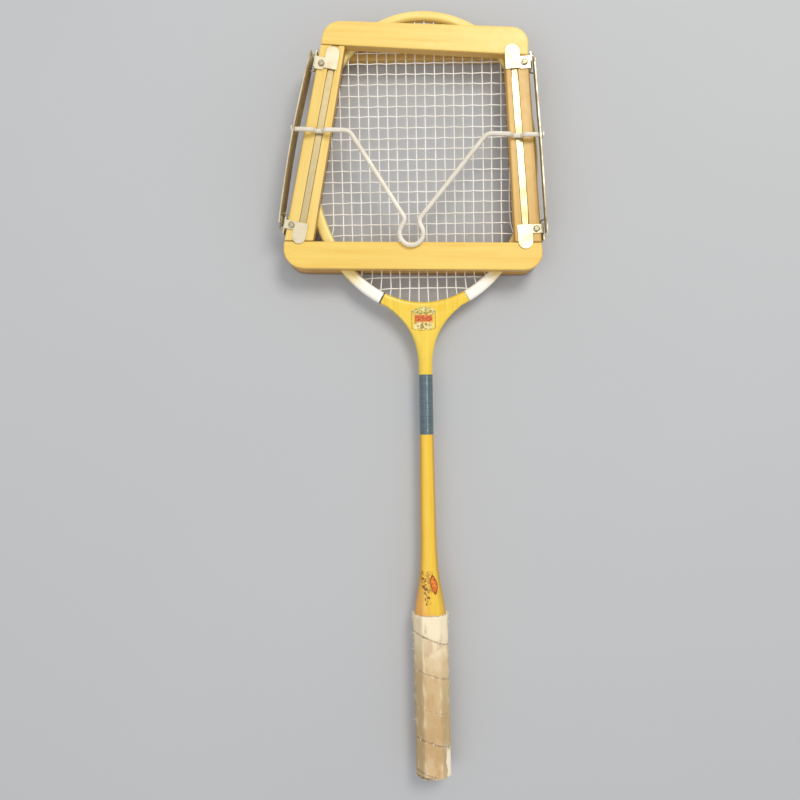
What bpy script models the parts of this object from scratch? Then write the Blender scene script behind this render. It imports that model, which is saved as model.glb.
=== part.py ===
"""Badminton racket locked in its wooden press, modelled lying face up.

The drawing is in millimetres and add_mesh scales it to metres. The racket's axis runs along Y with
the head at +Y. The press rests on the ground with its back. Z is up.
"""

import math

import bmesh
import bpy
from mathutils import Euler, Vector

MM = 0.001
GAP = 0.3                     # clearance that touching pieces keep

# Racket
AXIS = (8.2, -2.3)            # puts the drawing's origin so that the whole is centred in plan
PLANE_Z = 15.5                # height of the string plane above the ground
HEAD_CENTRE = (-0.6, 200.7)
HEAD_INNER = (90.6, 120.6)    # inner half width and half length of the head
HEAD_BULGE = (48.0, 24.0, 3.5)  # the head is fuller at the upper right: where and how wide, degrees
HOOP_DEPTH = 8.4              # along Z
HOOP_WIDTH_TOP = 7.8
HOOP_WIDTH_THROAT = 9.8
HOOP_CHAMFER = 1.5
HOOP_STEPS = 60
STRING_GROOVE = (1.7, 1.6)    # half width and depth of the groove round the hoop
STRING_RADIUS = 0.5
STRING_HOLE_RADIUS = 0.9
STRING_INSET = 1.2            # inside the hoop's inner face, where a string turns into its hole
MAIN_COUNT = 20
MAIN_PITCH = 8.09
CROSS_COUNT = 25
CROSS_PITCH = 9.21
CROSS_FIRST_Y = 92.3
STRING_LAYER = 0.65           # mains lie this far above the plane, crosses below it
THROAT_SHOULDER = (33.7, 78.9)
NECK_Y = 28.0
NECK_RADIUS = 5.95
SPLICE_Y = -7.0                # joint between throat and shaft, under the whipping
WHIPPING_TOP_Y = 18.5
WHIPPING_LENGTH = 52.0
WHIPPING_RADIUS = 6.1
WHIPPING_THICKNESS = 0.7
GRIP_TOP_Y = -185.6
BUTT_Y = -324.6
HANDLE_LEAN = (-100.0, 0.006)  # below this height the handle leans to the right by this slope
GRIP_WIDTH = 29.8
GRIP_HEIGHT = 26.4
GRIP_THICKNESS = 1.3
TENON_END_Y = -255.0          # how far the shaft runs inside the handle block

# Press
BOARD = 11.0                  # thickness of the rear frame and of the front frame
FRONT_Z = 20.0                # underside of the front frame
FRONT_TOP = FRONT_Z + BOARD
STILE_EDGE_ROUND = 1.2
TONGUE = (13.0, 11.0, 3.6)    # width, length and thickness of a stile's tongue
GROOVE_SPAN = (9.5, 15.8)     # groove's sides, measured in from the stile's outer edge
GROOVE_DEPTH = 2.1
LEAF = (5.3, 1.2)             # width and thickness of a leaf spring

# Outer corners of both frames, as bottom left, bottom right, top right, top left
OUTER = [(-122.0, 108.8), (101.4, 103.6), (91.0, 308.1), (-80.2, 316.6)]
OUTER_RADII = [17.0, 15.0, 14.0, 15.0]
# Where the stiles meet the rails, from the left stile's outer edge to the right stile's outer edge
FRONT_FOOT = [(-117.4, 131.7), (-93.0, 131.2), (76.6, 127.6), (98.9, 127.1)]
REAR_FOOT = [(-117.4, 131.7), (-95.4, 131.2), (79.0, 127.6), (98.9, 127.1)]
FRONT_HEAD = [(-84.2, 296.5), (-63.5, 295.1), (70.4, 285.7), (90.1, 284.3)]
REAR_HEAD = [(-85.2, 291.4), (-66.0, 291.2), (72.9, 290.0), (90.1, 289.8)]

# Fittings of each corner: its side, the way its tab's round end points along Y, then heights along Y:
# the tab's flat end and round end, the arm's middle and half width, and the ring's middle
CORNERS = {
    "top_left": ("left", 1, (277.4, 296.4), 280.6, 5.2, 283.0),
    "top_right": ("right", 1, (273.8, 294.0), 278.2, 5.2, 279.0),
    "bottom_left": ("left", -1, (149.0, 131.2), 145.6, 3.6, 148.5),
    "bottom_right": ("right", -1, (142.6, 122.6), 138.6, 3.6, 140.0),
}
SHEET = 1.0                   # thickness of brackets and straps
FOLD_LENGTH = 5.3             # reach of a front bracket's folded arm
# Tabs' sides, measured in from the stile's outer edge
FRONT_TAB_SPAN = {"left": (6.0, 17.4), "right": (7.5, 19.8)}
REAR_TAB_SPAN = (6.2, 18.4)
SCREW_INSET = 4.0
SCREW_HEAD = (2.7, 1.3)
SCREW_SHANK = (1.2, 7.0)
REAR_PLATE_Z = 1.7
REAR_TAB = (-9.0, 20.0)
REAR_ARM = (3.0, 7.0)         # shift from the ring's middle, and half width
EAR_OFFSET = 2.8              # middle of an ear, out from the stile
EAR_TOP = 27.0
RING_Z = 24.0
RING_OFFSET = 4.0             # middle of a ring, out from the stile
RING_HALF = (2.9, 7.3)
RING_WIRE = 0.7
EYE_SHIFT = 7.0               # from a ring's middle to the hole that it threads
EYE_RADIUS = 1.8
STRAP_OFFSET = 5.2
STRAP_BOTTOM = 20.6
STRAP_TOP = 43.0
STRAP_BOW = {"left": 1.8, "right": 0.4}
STRAP_LEAN = {"left": 0.4, "right": -2.6}

# Lever
LEVER_WIRE = 2.0
LEVER_LEFT = (-105.0, 223.0)  # the shaft's line in plan
LEVER_RIGHT = (95.7, 215.1)
LEVER_Z = 38.0
LEVER_DROP = math.radians(2.9)
CRANK_THROW = 4.6
CRANKS = [(-86.3, 3.4), (79.0, 4.0)]
LEG_BENDS = [(-61.0, 221.2), (53.5, 216.8)]
LOOP_NECKS = [(-15.3, 147.6), (-4.3, 146.8)]
HEAD_STANDOFF = 0.8           # lets a head clear the strap, which isn't square to the shaft
LOOP_CENTRE = (-10.5, 135.9)
LOOP_RADIUS = 10.0


def clear_scene():
    """Remove every object of the open scene."""
    for old in list(bpy.data.objects):
        bpy.data.objects.remove(old, do_unlink=True)


def make_material(name, colour, roughness, metallic=0.0):
    """One Principled material."""
    made = bpy.data.materials.new(name)
    made.use_nodes = True
    shader = made.node_tree.nodes["Principled BSDF"]
    shader.inputs["Base Color"].default_value = (*colour, 1.0)
    shader.inputs["Roughness"].default_value = roughness
    shader.inputs["Metallic"].default_value = metallic
    return made


def add_empty(name, parent=None, place=(0.0, 0.0, 0.0)):
    """An empty that carries the pieces of one body."""
    made = bpy.data.objects.new(name, None)
    made.empty_display_size = 0.02
    made.location = Vector(place) * MM
    made.parent = parent
    bpy.context.scene.collection.objects.link(made)
    return made


def add_mesh(name, shape, material, parent, place=(0.0, 0.0, 0.0), smooth=False):
    """Turn a millimetre bmesh into an object in metres."""
    bmesh.ops.recalc_face_normals(shape, faces=shape.faces)
    bmesh.ops.scale(shape, vec=(MM, MM, MM), verts=shape.verts)
    mesh = bpy.data.meshes.new(name)
    shape.to_mesh(mesh)
    shape.free()
    if material:
        mesh.materials.append(material)
    if smooth:
        mesh.shade_smooth()
    made = bpy.data.objects.new(name, mesh)
    made.location = Vector(place) * MM
    made.parent = parent
    bpy.context.scene.collection.objects.link(made)
    return made


def add_wire(name, points, radius, material, parent, closed=False, place=(0.0, 0.0, 0.0), finish=2):
    """A round wire along a list of points, with 4 sides and 2 more for each step of finish."""
    curve = bpy.data.curves.new(name, "CURVE")
    curve.dimensions = "3D"
    curve.bevel_depth = radius * MM
    curve.bevel_resolution = finish
    curve.use_fill_caps = True
    spline = curve.splines.new("POLY")
    spline.points.add(len(points) - 1)
    for slot, point in zip(spline.points, points):
        slot.co = (point[0] * MM, point[1] * MM, point[2] * MM, 1.0)
    spline.use_cyclic_u = closed
    spline.use_smooth = True
    curve.materials.append(material)
    made = bpy.data.objects.new(name, curve)
    made.location = Vector(place) * MM
    made.parent = parent
    bpy.context.scene.collection.objects.link(made)
    return made


def change(target, cutter, operation="DIFFERENCE"):
    """Cut a hidden solid out of a piece, or add it to the piece."""
    cutter.hide_render = True
    cutter.display_type = "WIRE"
    step = target.modifiers.new(cutter.name, "BOOLEAN")
    step.operation = operation
    step.solver = "EXACT"
    step.object = cutter


def round_edges(target, width, segments=2):
    """Take the sharp edges off a piece."""
    step = target.modifiers.new("round_over", "BEVEL")
    step.width = width * MM
    step.segments = segments
    step.limit_method = "ANGLE"
    step.angle_limit = math.radians(40.0)


def prism(outline, low, high):
    """A flat outline in XY, raised from low to high."""
    shape = bmesh.new()
    rims = []
    for height in (low, high):
        rims.append([shape.verts.new((x, y, height)) for x, y in outline])
    shape.faces.new(rims[0])
    shape.faces.new(rims[1])
    for i in range(len(outline)):
        j = (i + 1) % len(outline)
        shape.faces.new((rims[0][i], rims[0][j], rims[1][j], rims[1][i]))
    return shape


def bar_outline(start, end, near, far):
    """Corners of a straight bar beside the line from start to end, between two offsets to its left."""
    along = (Vector(end) - Vector(start)).normalized()
    across = Vector((-along.y, along.x))
    first, last = Vector(start), Vector(end)
    return [first + across * near, last + across * near, last + across * far, first + across * far]


def loft(rings, closed=False, curved_start=False):
    """Skin between rings of points; an open skin gets its two end caps, the first one of strips if curved."""
    shape = bmesh.new()
    rows = [[shape.verts.new(point) for point in ring] for ring in rings]
    count = len(rows[0])
    last = len(rows) if closed else len(rows) - 1
    for r in range(last):
        here, there = rows[r], rows[(r + 1) % len(rows)]
        for i in range(count):
            j = (i + 1) % count
            shape.faces.new((here[i], here[j], there[j], there[i]))
    if closed:
        return shape
    shape.faces.new(rows[-1])
    if not curved_start:
        shape.faces.new(rows[0])
        return shape
    for i in range(count // 2 - 1):
        shape.faces.new((rows[0][i], rows[0][i + 1], rows[0][count - 2 - i], rows[0][count - 1 - i]))
    return shape


def rounded(points, radii, steps=5):
    """A closed outline whose corners are arcs of the given radii; a radius of 0 keeps the corner."""
    outline = []
    for i, (point, radius) in enumerate(zip(points, radii)):
        corner = Vector(point)
        if radius == 0:
            outline.append(corner)
            continue
        before = (Vector(points[i - 1]) - corner).normalized()
        after = (Vector(points[(i + 1) % len(points)]) - corner).normalized()
        outline.extend(fillet(corner, before, after, radius, steps))
    return outline


def fillet(corner, before, after, radius, steps):
    """Points of the arc that rounds one corner between two directions."""
    half = before.angle(after) / 2
    centre = corner + (before + after).normalized() * (radius / math.sin(half))
    first = corner + before * (radius / math.tan(half)) - centre
    last = corner + after * (radius / math.tan(half)) - centre
    arc = []
    for k in range(steps + 1):
        share = k / steps
        turn = first.angle(last)
        weight = math.sin((1 - share) * turn), math.sin(share * turn)
        arc.append(centre + (first * weight[0] + last * weight[1]) / math.sin(turn))
    return arc


def rounded_path(points, radii, steps=4):
    """An open 3-D path whose inner corners are arcs."""
    path = [Vector(points[0])]
    for i in range(1, len(points) - 1):
        corner = Vector(points[i])
        before = (Vector(points[i - 1]) - corner).normalized()
        after = (Vector(points[i + 1]) - corner).normalized()
        path.extend(fillet(corner, before, after, radii[i - 1], steps))
    path.append(Vector(points[-1]))
    return path


def cylinder(centre, radius, low, high, sides=16):
    """An upright cylinder."""
    turn = [2 * math.pi * k / sides for k in range(sides)]
    return prism([(centre[0] + radius * math.cos(a), centre[1] + radius * math.sin(a)) for a in turn],
                 low, high)


# ---------------------------------------------------------------- racket

def head_point(turn, outward):
    """A point beside the head's inner ellipse, and the outward direction there."""
    half_width, half_length = HEAD_INNER
    normal = Vector((half_length * math.cos(turn), half_width * math.sin(turn))).normalized()
    inner = Vector((half_width * math.cos(turn), half_length * math.sin(turn)))
    middle, spread, height = HEAD_BULGE
    away = (math.degrees(turn) - middle + 180.0) % 360.0 - 180.0
    outward += height * math.exp(-(away / spread) ** 2)
    return Vector(HEAD_CENTRE) + inner + normal * outward, normal


def hoop_width(turn):
    """The hoop grows wider from its top to the throat."""
    share = (1.0 - math.sin(turn)) / 2.0
    return HOOP_WIDTH_TOP + (HOOP_WIDTH_THROAT - HOOP_WIDTH_TOP) * share


def hoop_section(width):
    """The hoop's section, as distances outward and up, with the string groove in its outer face."""
    half, cut = HOOP_DEPTH / 2, HOOP_CHAMFER
    slot, depth = STRING_GROOVE
    return [(0, -half + cut), (cut, -half), (width - cut, -half), (width, -half + cut), (width, -slot),
            (width - depth, -slot), (width - depth, slot), (width, slot), (width, half - cut),
            (width - cut, half), (cut, half), (0, half - cut)]


def string_ends(position, pitch_direction):
    """The two turns on the hoop where a string at this offset from the head's centre is held."""
    half_width, half_length = HEAD_INNER[0] - STRING_INSET, HEAD_INNER[1] - STRING_INSET
    if pitch_direction == "across":
        high = math.acos(position / half_width)
        return settle(-high, position, 0), settle(high, position, 0)
    right = math.asin(position / half_length)
    return settle(math.pi - right, position, 1), settle(right, position, 1)


def settle(turn, position, axis):
    """Move a turn on the hoop until the string's end there has this offset from the head's centre."""
    half_width, half_length = HEAD_INNER
    for _ in range(10):
        slope = half_length * math.cos(turn) if axis else -half_width * math.sin(turn)
        turn += (HEAD_CENTRE[axis] + position - head_point(turn, -STRING_INSET)[0][axis]) / slope
    return turn


def groove_point(turn):
    """Where a string's middle runs in the hoop's groove."""
    return head_point(turn, hoop_width(turn) - STRING_GROOVE[1] + GAP + STRING_RADIUS)[0]


def string_path(positions, pitch_direction, height):
    """One string laced back and forth through the hoop."""
    path = []
    last_turn = None
    for i, position in enumerate(positions):
        ends = string_ends(position, pitch_direction)
        if i % 2:
            ends = ends[::-1]
        if last_turn is not None:
            for k in (1, 2):
                path.append(groove_point(last_turn + short_turn(last_turn, ends[0]) * k / 3))
        path.append(groove_point(ends[0]))
        path.append(head_point(ends[0], -STRING_INSET)[0])
        path.append(head_point(ends[1], -STRING_INSET)[0])
        path.append(groove_point(ends[1]))
        last_turn = ends[1]
    return [(point.x, point.y, height) for point in path]


def short_turn(start, end):
    """The shorter way round from one turn to another."""
    return (end - start + math.pi) % (2 * math.pi) - math.pi


def string_hole_cutter(name, positions, pitch_direction, height, parent):
    """All holes of one set of strings, each drilled square through the hoop."""
    shape = bmesh.new()
    for position in positions:
        for turn in string_ends(position, pitch_direction):
            start, normal = head_point(turn, -0.6)
            end = head_point(turn, hoop_width(turn) - STRING_GROOVE[1] + 0.5)[0]
            side = Vector((-normal.y, normal.x))
            rims = []
            for middle in (start, end):
                rim = []
                for k in range(6):
                    angle = math.pi * k / 3
                    flat = middle + side * (STRING_HOLE_RADIUS * math.cos(angle))
                    rim.append((flat.x, flat.y, height + STRING_HOLE_RADIUS * math.sin(angle)))
                rims.append([shape.verts.new(point) for point in rim])
            shape.faces.new(rims[0])
            shape.faces.new(rims[1])
            for i in range(6):
                j = (i + 1) % 6
                shape.faces.new((rims[0][i], rims[0][j], rims[1][j], rims[1][i]))
    return add_mesh(name, shape, None, parent, (0, 0, PLANE_Z))


def main_positions():
    """Offsets of the main strings from the head's centre line."""
    return [(k - (MAIN_COUNT - 1) / 2) * MAIN_PITCH for k in range(MAIN_COUNT)]


def cross_positions():
    """Offsets of the cross strings from the head's centre."""
    return [CROSS_FIRST_Y + k * CROSS_PITCH - HEAD_CENTRE[1] for k in range(CROSS_COUNT)]


def build_hoop(parent, wood):
    """The bent wooden hoop with its groove and string holes."""
    rings = []
    for step in range(HOOP_STEPS):
        turn = 2 * math.pi * step / HOOP_STEPS
        ring = []
        for outward, height in hoop_section(hoop_width(turn)):
            point = head_point(turn, outward)[0]
            ring.append((point.x, point.y, height))
        rings.append(ring)
    hoop = add_mesh("hoop", loft(rings, closed=True), wood, parent, (0, 0, PLANE_Z))
    change(hoop, string_hole_cutter("main_holes", main_positions(), "across", STRING_LAYER, parent))
    change(hoop, string_hole_cutter("cross_holes", cross_positions(), "along", -STRING_LAYER, parent))


def build_strings(parent, gut):
    """Main strings and cross strings, each one laced length."""
    for name, places, direction, height in (
            ("main_strings", main_positions(), "across", STRING_LAYER),
            ("cross_strings", cross_positions(), "along", -STRING_LAYER)):
        add_wire(name, string_path(places, direction, height), STRING_RADIUS, gut, parent,
                 place=(0, 0, PLANE_Z), finish=1)


def bezier(points, share):
    """A point of the cubic curve over four points."""
    first, second, third, last = (Vector(p) for p in points)
    rest = 1 - share
    return (first * rest ** 3 + second * (3 * rest * rest * share) + third * (3 * rest * share * share)
            + last * share ** 3)


def hoop_underside(x):
    """Height along Y, a gap below the hoop, of the head's lower end at this distance from the axis."""
    turn = -math.pi / 2
    for _ in range(12):
        point = head_point(turn, hoop_width(turn) + GAP)[0]
        turn += (x - point.x) / (HEAD_INNER[0] + HOOP_WIDTH_THROAT)
    return point.y


def build_throat(parent, wood):
    """The wedge that fills the throat, with the round neck that the whipping binds to the shaft."""
    across = 12
    stations = 10
    shoulder_x, shoulder_y = THROAT_SHOULDER
    side = [(shoulder_x, shoulder_y), (15.5, 65.0), (7.2, 50.0), (NECK_RADIUS, NECK_Y)]
    rings = []
    for k in range(stations + 1):
        share = k / stations
        edge = bezier(side, share)
        upper, lower = [], []
        for j in range(across + 1):
            out = -math.cos(math.pi * j / across)
            x = edge.x * out
            y = edge.y + (hoop_underside(shoulder_x * out) - shoulder_y) * (1 - share) ** 2
            flat = min(HOOP_DEPTH / 2, 2.2 + (1 - abs(out)) * shoulder_x * 0.9)
            bulge = max(0.5, NECK_RADIUS * math.sqrt(1 - out * out))
            height = flat * (1 - share) + bulge * share
            upper.append((x, y, height))
            lower.append((x, y, -height))
        rings.append(upper + lower[::-1])
    for y, radius in ((WHIPPING_TOP_Y + 0.5, NECK_RADIUS - 0.1),
                      (WHIPPING_TOP_Y + 0.3, WHIPPING_RADIUS - WHIPPING_THICKNESS - GAP),
                      (SPLICE_Y, WHIPPING_RADIUS - WHIPPING_THICKNESS - GAP)):
        upper, lower = [], []
        for j in range(across + 1):
            out = -math.cos(math.pi * j / across)
            height = max(0.4, radius * math.sqrt(1 - out * out))
            upper.append((radius * out, y, height))
            lower.append((radius * out, y, -height))
        rings.append(upper + lower[::-1])
    add_mesh("throat_wedge", loft(rings, curved_start=True), wood, parent, (0, 0, PLANE_Z))


def handle_section(y, half_width, half_height, facets):
    """Sixteen points round the shaft or handle: round where facets is 0, eight flats where it is 1."""
    lean_y, slope = HANDLE_LEAN
    shift = max(0.0, lean_y - y) * slope
    flat_x, flat_z = half_width * 0.5, half_height * 0.42
    corners = [(half_width, flat_z), (flat_x, half_height), (-flat_x, half_height), (-half_width, flat_z),
               (-half_width, -flat_z), (-flat_x, -half_height), (flat_x, -half_height), (half_width, -flat_z)]
    ring = []
    for k in range(16):
        corner, following = corners[(k // 2) % 8], corners[(k // 2 + 1) % 8]
        if k % 2:
            corner = ((corner[0] + following[0]) / 2, (corner[1] + following[1]) / 2)
        angle = math.radians(22.5 * (k + 1))
        x = corner[0] * facets + half_width * math.cos(angle) * (1 - facets)
        z = corner[1] * facets + half_height * math.sin(angle) * (1 - facets)
        ring.append((x + shift, y, z))
    return ring


def build_shaft(parent, wood):
    """The shaft, its flared cone and the tenon inside the handle."""
    seat = WHIPPING_RADIUS - WHIPPING_THICKNESS - GAP
    low_seat = WHIPPING_TOP_Y - WHIPPING_LENGTH - 0.3
    cone_width = GRIP_WIDTH / 2 - GRIP_THICKNESS - GAP
    cone_height = GRIP_HEIGHT / 2 - GRIP_THICKNESS - GAP
    stations = [(SPLICE_Y - GAP, seat, seat, 0), (low_seat, seat, seat, 0), (low_seat - 0.2, 6.1, 6.1, 0),
                (-100.0, 6.6, 6.6, 0), (-124.0, 6.85, 6.8, 0), (-140.0, 7.4, 7.3, 0), (-150.0, 8.1, 7.9, 0.1),
                (-160.0, 9.3, 8.8, 0.35), (-170.0, 10.9, 9.9, 0.65), (-179.0, 12.6, 11.0, 0.9),
                (GRIP_TOP_Y, cone_width, cone_height, 1), (GRIP_TOP_Y - 0.1, 7.0, 7.0, 0),
                (TENON_END_Y, 7.0, 7.0, 0)]
    add_mesh("shaft", loft([handle_section(*station) for station in stations]), wood, parent,
             (0, 0, PLANE_Z))


def build_whipping(parent, thread):
    """The band of lacquered thread below the throat."""
    low = WHIPPING_TOP_Y - WHIPPING_LENGTH
    inner = WHIPPING_RADIUS - WHIPPING_THICKNESS
    rings = [handle_section(y, radius, radius, 0) for y, radius in (
        (WHIPPING_TOP_Y, inner), (WHIPPING_TOP_Y, WHIPPING_RADIUS), (low, WHIPPING_RADIUS), (low, inner))]
    add_mesh("shaft_whipping", loft(rings, closed=True), thread, parent, (0, 0, PLANE_Z))


def build_handle(parent, wood, leather):
    """The eight-sided handle block on the shaft's tenon, and the grip wound over it."""
    half_width, half_height = GRIP_WIDTH / 2, GRIP_HEIGHT / 2
    wall = GRIP_THICKNESS
    inner_width, inner_height = half_width - wall, half_height - wall
    block_top = GRIP_TOP_Y - 0.4
    block = add_mesh("handle_block", loft([
        handle_section(block_top, inner_width - GAP, inner_height - GAP, 1),
        handle_section(BUTT_Y + wall + GAP, inner_width - GAP, inner_height - GAP, 1)]),
        wood, parent, (0, 0, PLANE_Z))
    change(block, add_mesh("tenon_hole", loft([handle_section(block_top + 5, 7.3, 7.3, 0),
                                               handle_section(TENON_END_Y - 0.4, 7.3, 7.3, 0)]),
                           None, parent, (0, 0, PLANE_Z)))
    wrap = add_mesh("grip_wrap", loft([
        handle_section(GRIP_TOP_Y - GAP, half_width, half_height, 1),
        handle_section(BUTT_Y + 2.0, half_width, half_height, 1),
        handle_section(BUTT_Y, half_width - 1.2, half_height - 1.2, 1)]),
        leather, parent, (0, 0, PLANE_Z))
    change(wrap, add_mesh("grip_hollow", loft([
        handle_section(GRIP_TOP_Y + 5, inner_width, inner_height, 1),
        handle_section(BUTT_Y + wall, inner_width, inner_height, 1)]), None, parent, (0, 0, PLANE_Z)))


# ---------------------------------------------------------------- press

def edge_point(side, y, inward, shift=0.0):
    """A point in plan beside a stile's outer edge: level with y, moved inward and along the edge."""
    corner = 0 if side == "left" else 3
    foot, head = FRONT_FOOT[corner], FRONT_HEAD[corner]
    foot, head = Vector(foot), Vector(head)
    along = (head - foot).normalized()
    inner = Vector((along.y, -along.x)) * (1 if side == "left" else -1)
    start = foot + along * ((y - foot.y) / along.y)
    return start + inner * inward + along * shift


def rod(start, end, radius, sides=12):
    """A straight round bar between two points."""
    start, end = Vector(start), Vector(end)
    along = (end - start).normalized()
    across = along.orthogonal().normalized()
    other = along.cross(across)
    rings = []
    for middle in (start, end):
        turns = [2 * math.pi * k / sides for k in range(sides)]
        rings.append([middle + (across * math.cos(a) + other * math.sin(a)) * radius for a in turns])
    return loft(rings)


def lathe(profile, sides=16):
    """Turn a list of radius and height pairs round the upright axis."""
    turns = [2 * math.pi * k / sides for k in range(sides)]
    return loft([[(r * math.cos(a), r * math.sin(a), z) for a in turns] for r, z in profile])


def build_rail(name, line, lower, z, wood, parent):
    """A rail between the ends of a seam line and the frame's rounded outer corners."""
    if lower:
        outline = rounded([OUTER[0], OUTER[1], line[3], line[0]], OUTER_RADII[:2] + [0, 0])
    else:
        outline = rounded([line[0], line[3], OUTER[2], OUTER[3]], [0, 0] + OUTER_RADII[2:])
    rail = add_mesh(name, prism(outline, z, z + BOARD), wood, parent)
    round_edges(rail, STILE_EDGE_ROUND)
    return rail


def build_stile(name, foot, head, z, wood, parent):
    """A stile between two seam lines, a hair short of both."""
    ends = [Vector(foot[0]), Vector(foot[1]), Vector(head[1]), Vector(head[0])]
    along = ((ends[2] + ends[3]) - (ends[0] + ends[1])).normalized()
    outline = [ends[0] + along * GAP, ends[1] + along * GAP, ends[2] - along * GAP, ends[3] - along * GAP]
    stile = add_mesh(name, prism(outline, z, z + BOARD), wood, parent)
    round_edges(stile, STILE_EDGE_ROUND)
    return stile


def join_corner(stile, rail, foot, head, at_head, z, parent):
    """The stile's tongue in the rail's slot."""
    width, length, thickness = TONGUE
    low, high = (Vector(foot[0]) + Vector(foot[1])) / 2, (Vector(head[0]) + Vector(head[1])) / 2
    along = (high - low).normalized()
    seam, way = (high, along) if at_head else (low, -along)
    middle = z + BOARD / 2
    for target, margin, operation in ((stile, 0.0, "UNION"), (rail, GAP, "DIFFERENCE")):
        root = seam - way * (4.0 if operation == "UNION" else 1.5)
        outline = bar_outline(root, seam + way * (length + margin), -width / 2 - margin, width / 2 + margin)
        half = thickness / 2 + margin
        word = "tongue" if operation == "UNION" else "slot"
        change(target, add_mesh(f"{stile.name}_{word}_{'head' if at_head else 'foot'}",
                                prism(outline, middle - half, middle + half), None, parent), operation)


def build_frame(word, foot, head, z, parent, wood):
    """Two rails and two stiles with their corner joints."""
    pieces = {
        "top": build_rail(f"{word}_top_rail", head, False, z, wood, parent),
        "bottom": build_rail(f"{word}_bottom_rail", foot, True, z, wood, parent),
        "left": build_stile(f"{word}_left_stile", foot[:2], head[:2], z, wood, parent),
        "right": build_stile(f"{word}_right_stile", foot[:1:-1], head[:1:-1], z, wood, parent),
    }
    for side, foot_line, head_line in (("left", foot[:2], head[:2]), ("right", foot[2:], head[2:])):
        join_corner(pieces[side], pieces["top"], foot_line, head_line, True, z, parent)
        join_corner(pieces[side], pieces["bottom"], foot_line, head_line, False, z, parent)
    return pieces


def cut_leaf_groove(stile, side, parent):
    """The groove that the leaf spring lies in, the full length of the stile."""
    near, far = GROOVE_SPAN
    outline = [edge_point(side, 100, near), edge_point(side, 320, near),
               edge_point(side, 320, far), edge_point(side, 100, far)]
    change(stile, add_mesh(f"{stile.name}_groove", prism(outline, FRONT_TOP - GROOVE_DEPTH, FRONT_TOP + 1),
                           None, parent))


def build_leaf(side, parent, steel):
    """A leaf spring, bowed up in the middle, with its ends under the brackets."""
    width, thickness = LEAF
    middle = sum(GROOVE_SPAN) / 2
    low_y, high_y = 137.0, (281.0 if side == "left" else 277.0)
    under = FRONT_TOP - GROOVE_DEPTH + GAP
    rings = []
    steps = 10
    for k in range(steps + 1):
        share = k / steps
        half = width / 2 * (0.72 if k in (0, steps) else 1.0)
        y = low_y + (high_y - low_y) * share
        bow = 0.7 * (1 - (2 * share - 1) ** 2)
        inner, outer = edge_point(side, y, middle + half), edge_point(side, y, middle - half)
        rings.append([(*inner, under + bow), (*outer, under + bow),
                      (*outer, under + bow + thickness), (*inner, under + bow + thickness)])
    add_mesh(f"leaf_spring_{side}", loft(rings), steel, parent)


def bracket_outline(side, arm_y, way, tab, span, arm_half, arm_start, margin=0.0):
    """A bracket in plan: an arm that starts near the stile's edge, and a tab with one round end."""
    near, far = span[0] - margin, span[1] + margin
    radius = (far - near) / 2
    flat, tip = tab[0] - margin, tab[1] + margin
    low, high = -arm_half - margin, min(arm_half + margin, tip - radius - 0.2)
    corners = [(arm_start, low), (near, low), (near, flat), (far, flat)]
    middle = near + radius
    for k in range(9):
        angle = math.pi * k / 8
        corners.append((middle + radius * math.cos(angle), tip - radius + radius * math.sin(angle)))
    corners.extend([(near, high), (arm_start, high)])
    return [edge_point(side, arm_y, inward, way * shift) for inward, shift in corners], low, high


def folded_plate(outline, outer_low, outer_high, back, front, tip):
    """A flat plate from back to front whose arm is folded over at its end, and reaches down to tip."""
    shape = bmesh.new()
    rear_rim = [shape.verts.new((*point, back)) for point in outline]
    front_rim = [shape.verts.new((*point, front)) for point in outline]
    outer_rear = [shape.verts.new((*point, back)) for point in (outer_low, outer_high)]
    outer_tip = [shape.verts.new((*point, tip)) for point in (outer_low, outer_high)]
    inner_tip = [shape.verts.new((*point, tip)) for point in (outline[0], outline[-1])]
    shape.faces.new([outer_rear[0], *rear_rim, outer_rear[1]])
    shape.faces.new(front_rim)
    for i in range(len(outline) - 1):
        shape.faces.new((rear_rim[i], rear_rim[i + 1], front_rim[i + 1], front_rim[i]))
    shape.faces.new((front_rim[0], front_rim[-1], inner_tip[1], inner_tip[0]))
    shape.faces.new((outer_tip[0], inner_tip[0], inner_tip[1], outer_tip[1]))
    shape.faces.new((outer_rear[0], outer_rear[1], outer_tip[1], outer_tip[0]))
    shape.faces.new((outer_rear[0], rear_rim[0], front_rim[0], inner_tip[0], outer_tip[0]))
    shape.faces.new((outer_rear[1], rear_rim[-1], front_rim[-1], inner_tip[1], outer_tip[1]))
    return shape


def build_front_bracket(corner, pieces, parent, steel):
    """A corner bracket on the front face, folded over the stile's outer edge, with its screw."""
    side, way, tab_y, arm_y, arm_half, _ = CORNERS[corner]
    tab = ((tab_y[0] - arm_y) * way, (tab_y[1] - arm_y) * way)
    outline, low, high = bracket_outline(side, arm_y, way, tab, FRONT_TAB_SPAN[side], arm_half, -GAP)
    corners = [edge_point(side, arm_y, -GAP - SHEET, way * shift) for shift in (low, high)]
    base = FRONT_TOP + GAP
    bracket = add_mesh(f"front_bracket_{corner}",
                       folded_plate(outline, *corners, base + SHEET, base, base - FOLD_LENGTH), steel, parent)
    place = edge_point(side, arm_y, SCREW_INSET)
    add_screw(f"front_screw_{corner}", (*place, base + SHEET + GAP), 1, [bracket, pieces[side]],
              parent, steel)


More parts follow.
